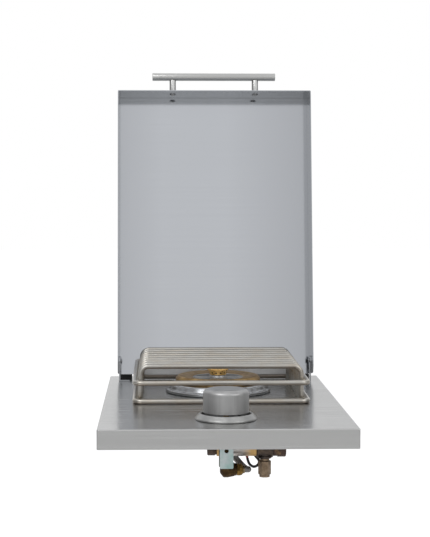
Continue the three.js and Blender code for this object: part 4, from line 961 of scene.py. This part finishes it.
def add_cap():
    """Bright brass cap with round flame holes in a steep wall, and a wider flat top."""
    profile = [(0, 24.1), (11.5, 24.1), (12.3, 24.7), (12.7, 29.0), (13.3, 30.2), (15.2, 31.0), (15.4, 31.4),
               (15.4, 32.4), (14.6, 33.4), (12.4, 33.4), (11, 32.6), (0, 32.4)]
    mesh = with_openings(turned(STAY, (profile, 0.6, 96), steps=4), {
        "Count": 12, "Circle radius": 12.4, "Place in height": 27.4, "Opening radius": 1.3,
        "Opening depth": 7.0, "Sides": 24, "Turn": 0.0}, CAP_BRASS)
    finished("brass_cap", mesh, "deck", CAP_BRASS, ["burner_centre_cap"], 28.0)


def add_igniter():
    """Porcelain electrode with its wire tip, which leans a little towards the burner."""
    seat = from_burner() @ Matrix.Translation(ELECTRODE)
    profile = [(0, -14), (3, -14), (3, 0.3), (4.2, 0.3), (4.2, 1.7), (3, 1.7), (3, 14.1), (2.1, 15), (0, 15)]
    finished("spark_electrode", turned(seat, (profile, 0.5, 40)), "deck", PORCELAIN, ["igniter_electrode"])
    tip = [Vector(p) for p in ((0, 0, 15.3), (0, 0, 16.8), (-0.05, -0.05, 18.2), (-0.05, -0.05, 19.3))]
    finished("spark_wire", swept(seat, tip, 0.75, 14), "deck", FASTENER_STEEL, ["igniter_tip"])


def add_jet():
    """Jet holder with its inlet, the jet inside it, and the strap's nuts."""
    holder = [(0, -36.1), (15, -36.1), (15, -22.1), (4.5, -22.1), (4.5, -20.6), (3.2, -20.6), (3.2, -28.2),
              (0, -28.2)]
    inlet = [(4.5, 0), (6.5, 0), (6.5, 16), (4.5, 16)]
    mesh = turned(from_burner(), (holder, 0.8, 72), (inlet, 0.5, 48, facing((0, -14, FEED_Z), (0, -1, 0))))
    finished("jet_block", mesh, "deck", JET_CASTING, ["jet_holder"])
    thread = [(0, -27), (2.9, -27), (2.9, -20), (0, -20)]
    hexagon = [(0, -20), (5.4, -20), (5.4, -17.2), (4.8, -17), (0, -17)]
    tip = [(0, -17.2), (3.2, -17.2), (3.2, -14.7), (1.8, -12), (0.5, -12), (0.5, -13), (0, -13)]
    mesh = turned(from_burner(), (thread, 0.3, 32), (hexagon, 0.2, 6), (tip, 0.3, 32))
    finished("jet_spud", mesh, "deck", JET_BRASS, ["gas_jet"], 30)
    nut = [(2.3, -6.5), (3.9, -6.5), (3.9, -3.3), (2.3, -3.3)]
    for side, sign in SIDES:
        seat = from_burner() @ Matrix.Translation((sign * STUD_X, 0, 0))
        finished("nut_" + side, turned(seat, (nut, 0.3, 6)), "deck", FASTENER_STEEL, ["strap_nut_" + side])


# Knob


def add_knob():
    """Plain round knob: chamfered top edge, a short mark at the back and a hollow underside."""
    profile = [(27, 9), (29.2, 9), (29.6, 9.5), (29.6, 33.6), (29.3, 35.0), (28.6, 36.3), (27.4, 37.5),
               (25.8, 38.6), (23.6, 39.5), (21, 39.9), (18, 40), (0, 40), (0, 35), (27, 35)]
    hub = [(4.3, 12), (8, 12), (8, 35.2), (4.3, 35.2)]
    mark = block((-0.8, 15.5, 39.2), (0.8, 30.5, 41.5), 0.25)
    shell = cut(turned(STAY, (profile, 0.7, 144), steps=4), mark)
    finished("control_knob_shell", joined(from_knob(), shell, turned(STAY, (hub, 0.4, 48))),
             "control_knob", KNOB_STEEL, ["knob"], 28.0)


def add_bezel():
    """Raised ring round the knob, and the two screws under the knob."""
    profile = [(14, 0.35), (39.4, 0.35), (39.8, 0.8), (39.8, 2.2), (39.2, 3.0), (34.8, 7.7), (34, 8.2),
               (32.6, 8.2), (32, 7.6), (32, 2.3), (14, 2.3)]
    finished("knob_collar", turned(from_knob(), (profile, 0.4, 144), steps=4), "deck", BEZEL_STEEL,
             ["knob_bezel"], 30.0)
    reach, angle, height = 22, math.radians(30), 2.6
    x, y = reach * math.cos(angle), reach * math.sin(angle)
    heads("collar_screws", [(x, y, height), (-x, -y, height)], from_knob(), "deck", {
        "Radius": 3.2, "Height": 1.8, "Sides": 32, "Crown": 0.6, "Shank radius": 1.5,
        "Shank length": 8.5}, ["bezel_screw_left", "bezel_screw_right"])


def add_stem():
    """Brass stem with its flat, the clip, the spring seat and the return spring."""
    seat = from_knob()
    stem = turned(STAY, ([(0, -48), (4, -48), (4, 30), (0, 30)], 0.5, 40))
    mesh = cut(stem, block((-8, 2.8, 12), (8, 8, 40)), seat)
    finished("stem_shaft", mesh, "control_knob", JET_BRASS, ["valve_stem"], 30)
    clip = turned(seat, ([(4.3, -2.7), (6, -2.7), (6, -1.7), (4.3, -1.7)], 0.2, 48))
    finished("clip_ring", clip, "control_knob", FASTENER_STEEL, ["stem_clip"])
    washer = turned(seat, ([(4.3, -4.2), (8.8, -4.2), (8.8, -3), (4.3, -3)], 0.2, 48))
    finished("spring_washer", washer, "push_carriage", FASTENER_STEEL, ["spring_seat"])
    foot, length, push, wire = -19.7, 15.2, 3.5, 0.8
    rise = length - 2 * wire
    mesh = coil_pattern().run([(0, 0, 0)], {
        "Coil radius": 6.8, "Wire radius": 0.75, "Turns": 5.0, "Rise": rise}, FASTENER_STEEL,
        seat @ Matrix.Translation((0, 0, foot + wire)))
    piece = finished("return_spring", mesh, "deck", FASTENER_STEEL, ["stem_spring"], 60)
    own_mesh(piece)


# Gas fittings under the deck


def add_valve():
    """Valve: upright column, cross barrel, rear boss, and a flange cut off in front with its screws."""
    upright = Matrix.Translation((0, KNOB_Y, 0))
    column = [(4.4, -61.6), (9.1, -61.6), (9.1, -24), (4.4, -24)]
    barrel = [(0, -7.7), (4.1, -7.7), (5.1, -7.2), (9.7, -3.8), (10.3, -2.8), (10.3, 2.6), (9.9, 4.2),
              (8.7, 10.4), (8.0, 11.2), (7.9, 13.4), (0, 13.4)]
    boss = [(0, 4), (7, 4), (7, 15.2), (0, 15.2)]
    mesh = turned(from_deck(), (column, 0.8, 64, upright),
                  (barrel, 0, 48, facing((0, KNOB_Y, OUTLET_Z), (1, 0, 0))),
                  (boss, 0.4, 40, facing((0, KNOB_Y, PIPE_Z), (0, 1, 0))))
    finished("valve_casting", mesh, "deck", VALVE_BRASS, (), 32)
    plate = turned(upright, ([(4.4, -24), (19.4, -24), (19.4, -20), (4.4, -20)], 0.6, 96))
    mesh = cut(plate, block((-30, 40, -30), (30, 64.4, -10)), from_deck())
    finished("valve_flange", mesh, "deck", VALVE_BRASS, ["valve_body"], 32)
    shift, under = 15.6 * math.cos(math.pi / 4), -24.3
    seat = from_deck() @ facing((0, KNOB_Y, under), (0, 0, -1))
    flip = seat.inverted() @ from_deck()
    places = [flip @ Vector((sign * shift, KNOB_Y - sign * shift, under)) for sign in (1, -1)]
    heads("valve_screw_heads", places, seat, "deck", {
        "Radius": 3.2, "Height": 2.4, "Sides": 6, "Crown": 0.92, "Shank radius": 1.9,
        "Shank length": 22.0}, ["valve_screw_left", "valve_screw_right"])


FEED_ROUTE = [
    (14.4, 79, -65), (18.4, 79, -65), (22.1, 79, -65), (24.8, 79.1, -65), (27.9, 81.4, -65.5),
    (29.0, 87, -66.6), (27.1, 94.5, -67.4), (23.1, 103, -65.6), (17.4, 113, -60.5), (11.1, 127, -54),
    (5.8, 146, -46), (2.2, 178, -37), (0.5, 218, -31), (0, 258, -29.1), (0, 284, -29.1), (0, 311, -29.1)]


def add_outlet():
    """Union nut and heat-stained sleeve on the valve, the bent feed tube, and its nut at the burner."""
    across = from_deck() @ facing((0, KNOB_Y, OUTLET_Z), (1, 0, 0))
    nut = [(FEED_BORE, 13.7), (7.6, 13.7), (8.3, 14.4), (8.3, 17.2), (7.6, 17.9), (FEED_BORE, 17.9)]
    collar = [(FEED_BORE, 17.7), (7.9, 17.7), (7.6, 19.4), (6.0, 21.7), (FEED_BORE, 21.7)]
    finished("outlet_union", turned(across, (nut, 0, 6), (collar, 0.4, 48)), "deck", UNION_BRASS,
             ["outlet_nut"], 30)
    sleeve = [(FEED_BORE, 22.0), (5.2, 22.0), (5.2, 24.0), (FEED_BORE, 24.0)]
    finished("bright_sleeve", turned(across, (sleeve, 0.25, 48)), "deck", SLEEVE_CHROME,
             ["outlet_sleeve"])
    finished("gas_feed", swept(from_deck(), smooth_line(FEED_ROUTE), 4.1, 28), "deck", GREY_PIPE,
             ["feed_tube"], 60)
    seat = from_deck() @ facing((0, 295.5, FEED_Z), (0, 1, 0))
    nut = [(FEED_BORE, 0), (7.3, 0), (7.9, 0.7), (7.9, 11.3), (7.3, 12), (FEED_BORE, 12)]
    finished("feed_union", turned(seat, (nut, 0, 6)), "deck", NUT_BRASS, ["feed_tube_nut"])


def add_manifold():
    """Cross pipe with its plug, the tee, the right-hand end fitting and the hanging inlet fitting."""
    along = facing((0, PIPE_Y, PIPE_Z), (1, 0, 0))
    down = Matrix.Translation((INLET_X, PIPE_Y, 0))
    pipe = [(7.5, -11), (9.5, -11), (9.5, 40.7), (7.5, 40.7)]
    plug = [(0, -23.3), (7.6, -23.3), (8.6, -22.3), (8.6, -13.3), (7.6, -13.3), (7.6, -11.3), (0, -11.3)]
    run = [(0, 41), (11.4, 41), (11.4, 43), (10.5, 45), (10.5, 58), (11.4, 60), (11.4, 62), (0, 62)]
    branch = [(0, -44), (8.3, -44), (8.3, -51.4), (9, -52.2), (9, -55), (0, -55)]
    end = [(0, 62.3), (9.6, 62.3), (9.6, 67.9), (10.6, 67.9), (10.6, 78), (9.6, 79), (0, 79)]
    neck = [(4.5, -58.3), (6.1, -58.3), (6.1, -55.35), (4.5, -55.35)]
    nut = [(4.5, -76.7), (7.6, -76.7), (8.35, -75.8), (8.35, -59.1), (7.6, -58.3), (4.5, -58.3)]
    mouth = [(4.5, -79.7), (6.8, -79.7), (6.8, -76.7), (4.5, -76.7)]
    for name, parts, material, node, slot, sharp in (
            ("cross_pipe", [(pipe, 0.4, 64, along)], PIPE_STEEL, "manifold_pipe", "grey_pipe", 38),
            ("cross_plug", [(plug, 0.3, 48, along)], DARK_FITTING, "manifold_end_plug", "dark_fitting", 38),
            ("tee_casting", [(run, 0.7, 64, along), (branch, 0.5, 48, down)], DARK_FITTING, "inlet_tee",
             "dark_fitting", 32),
            ("end_union", [(end, 0.3, 48, along)], END_BRASS, "manifold_end_fitting", "aged_brass", 38),
            ("gas_inlet_union", [(neck, 0.3, 40, down), (nut, 0, 6, down), (mouth, 0.3, 40, down)],
             INLET_BRASS, "inlet_fitting", "aged_brass", 30)):
        finished(name, turned(from_deck(), *parts), "deck", material, [node], sharp)


LEAD_ROUTE = [
    (28.5, 88.3, -11.8), (28.5, 97, -12.5), (27.6, 109, -17), (27.8, 117, -28), (28.2, 118.5, -42),
    (29.5, 118.5, -56), (33, 118.5, -66), (38.5, 118.5, -69.3), (43.6, 118.5, -67), (45.4, 118.5, -62),
    (41.6, 118.5, -56.5), (37.6, 119, -51), (37, 121, -41), (43, 128, -29), (54, 142, -20), (64, 168, -15),
    (84, 200, -13), (99, 240, -12), (104, 295, -12), (103, 345, -13), (96, 378, -18), (80, 399, -26),
    (62, 403, -33), (50.5, 393, -34), (46.1, 384.1, -27), (46.1, 384.1, -14.4)]


def add_lead():
    """Ignition lead: a red sleeve from the module down, then black all the way to the electrode."""
    sleeve_end, radius, sides = -57, 1.75, 16
    line = smooth_line(LEAD_ROUTE)
    split = next(i for i, p in enumerate(line) if p.z < sleeve_end)
    finished("spark_lead", swept(from_deck(), line[split:], radius, sides), "deck", LEAD_RUBBER,
             ["ignition_lead"], 60)
    finished("spark_lead_sleeve", swept(from_deck(), line[:split + 1], radius, sides), "deck", LEAD_RED,
             (), 60)
    finished("spark_module", block((21, 66.0, -20.3), (36, 88, -3.3), 1.6, from_deck()), "deck",
             MODULE_PLASTIC, ["igniter_module"])


# Room, lamps


def add_floor():
    """A pale floor well below the object, since the object hangs in a counter."""
    size, middle = 12.0, (0, 2, -0.36)
    floor = Finish("floor_paint")
    floor.tree.nodes.remove(floor.shader)
    rays = floor.add("ShaderNodeLightPath").outputs
    seen = floor.math("MAXIMUM", rays["Is Camera Ray"], rays["Is Transmission Ray"])
    seen = floor.math("MAXIMUM", seen, floor.math("MULTIPLY", rays["Is Glossy Ray"], 0.28))
    paint = floor.add("ShaderNodeBsdfDiffuse", {"Color": (0.8, 0.8, 0.8, 1)})
    glow = floor.add("ShaderNodeEmission", {
        "Color": (1, 1, 1, 1), "Strength": floor.math("MULTIPLY", seen, 0.55)})
    both = floor.add("ShaderNodeAddShader", {0: paint.outputs[0], 1: glow.outputs[0]})
    floor.put(floor.out.inputs["Surface"], both.outputs[0])
    bm = bmesh.new()
    bmesh.ops.create_grid(bm, x_segments=2, y_segments=2, size=size)
    mesh = mesh_of(bm, Matrix.Translation(middle))
    mesh.materials.append(floor.material)
    ground = placed("floor", mesh)


def add_sky():
    """White for the camera, and for the rest brighter above than below and dimmer at the sides."""
    world = bpy.data.worlds.new("studio")
    bpy.context.scene.world = world
    world.use_nodes = True
    sky = Nodes(world.node_tree, "Generated")
    rays = sky.add("ShaderNodeLightPath").outputs
    camera, mirrored = rays["Is Camera Ray"], rays["Is Glossy Ray"]
    ramp = sky.add("ShaderNodeValToRGB", {"Fac": sky.ranged(sky.axis("Z"), 0.0, 1.0, -1.0, 1.0)})
    low, high = ramp.color_ramp.elements
    low.position, low.color = 0.35, (0.74, 0.74, 0.73, 1)
    high.position, high.color = 0.62, (0.98, 0.985, 1.0, 1)
    color = sky.mix(camera, ramp.outputs["Color"], (1, 1, 1))
    strength = sky.blend(sky.math("MAXIMUM", camera, mirrored), 0.6, 1.0)
    sides = sky.ranged(sky.math("ABSOLUTE", sky.axis("X")), 1.0, 0.42, 0.45, 0.95)
    level = sky.math("MULTIPLY", strength, sky.blend(mirrored, 1.0, sides))
    shine = sky.add("ShaderNodeBackground", {"Color": color, "Strength": level})
    sky.add("ShaderNodeOutputWorld", {"Surface": shine.outputs[0]})


def add_lamps():
    """Three soft round lamps, each turned to a place on the object."""
    for name, place, size, power, aim in (
            ("key_lamp", (-1.1, -1.2, 1.9), 1.4, 16.0, (0, 0.2, 0.1)),
            ("fill_lamp", (1.5, -1.0, 1.3), 1.6, 8.0, (0, 0.2, 0.1)),
            ("back_lamp", (0.3, 1.9, 1.8), 1.2, 2.0, (0, 0.3, 0.2))):
        lamp = bpy.data.lights.new(name, "AREA")
        lamp.shape = "DISK"
        lamp.size = size
        lamp.energy = power
        holder = placed(name, lamp)
        holder.location = place
        holder.rotation_euler = (Vector(place) - Vector(aim)).to_track_quat("Z", "Y").to_euler()


for step in (add_camera, dress_sheet_metal, add_hinge_pins, add_handle, add_grate, add_dish, add_body,
             add_ring, add_cap, add_igniter, add_jet, add_knob, add_bezel, add_stem, add_valve, add_outlet,
             add_manifold, add_lead, add_floor, add_sky, add_lamps):
    step()
bpy.context.scene.view_settings.view_transform = "Standard"
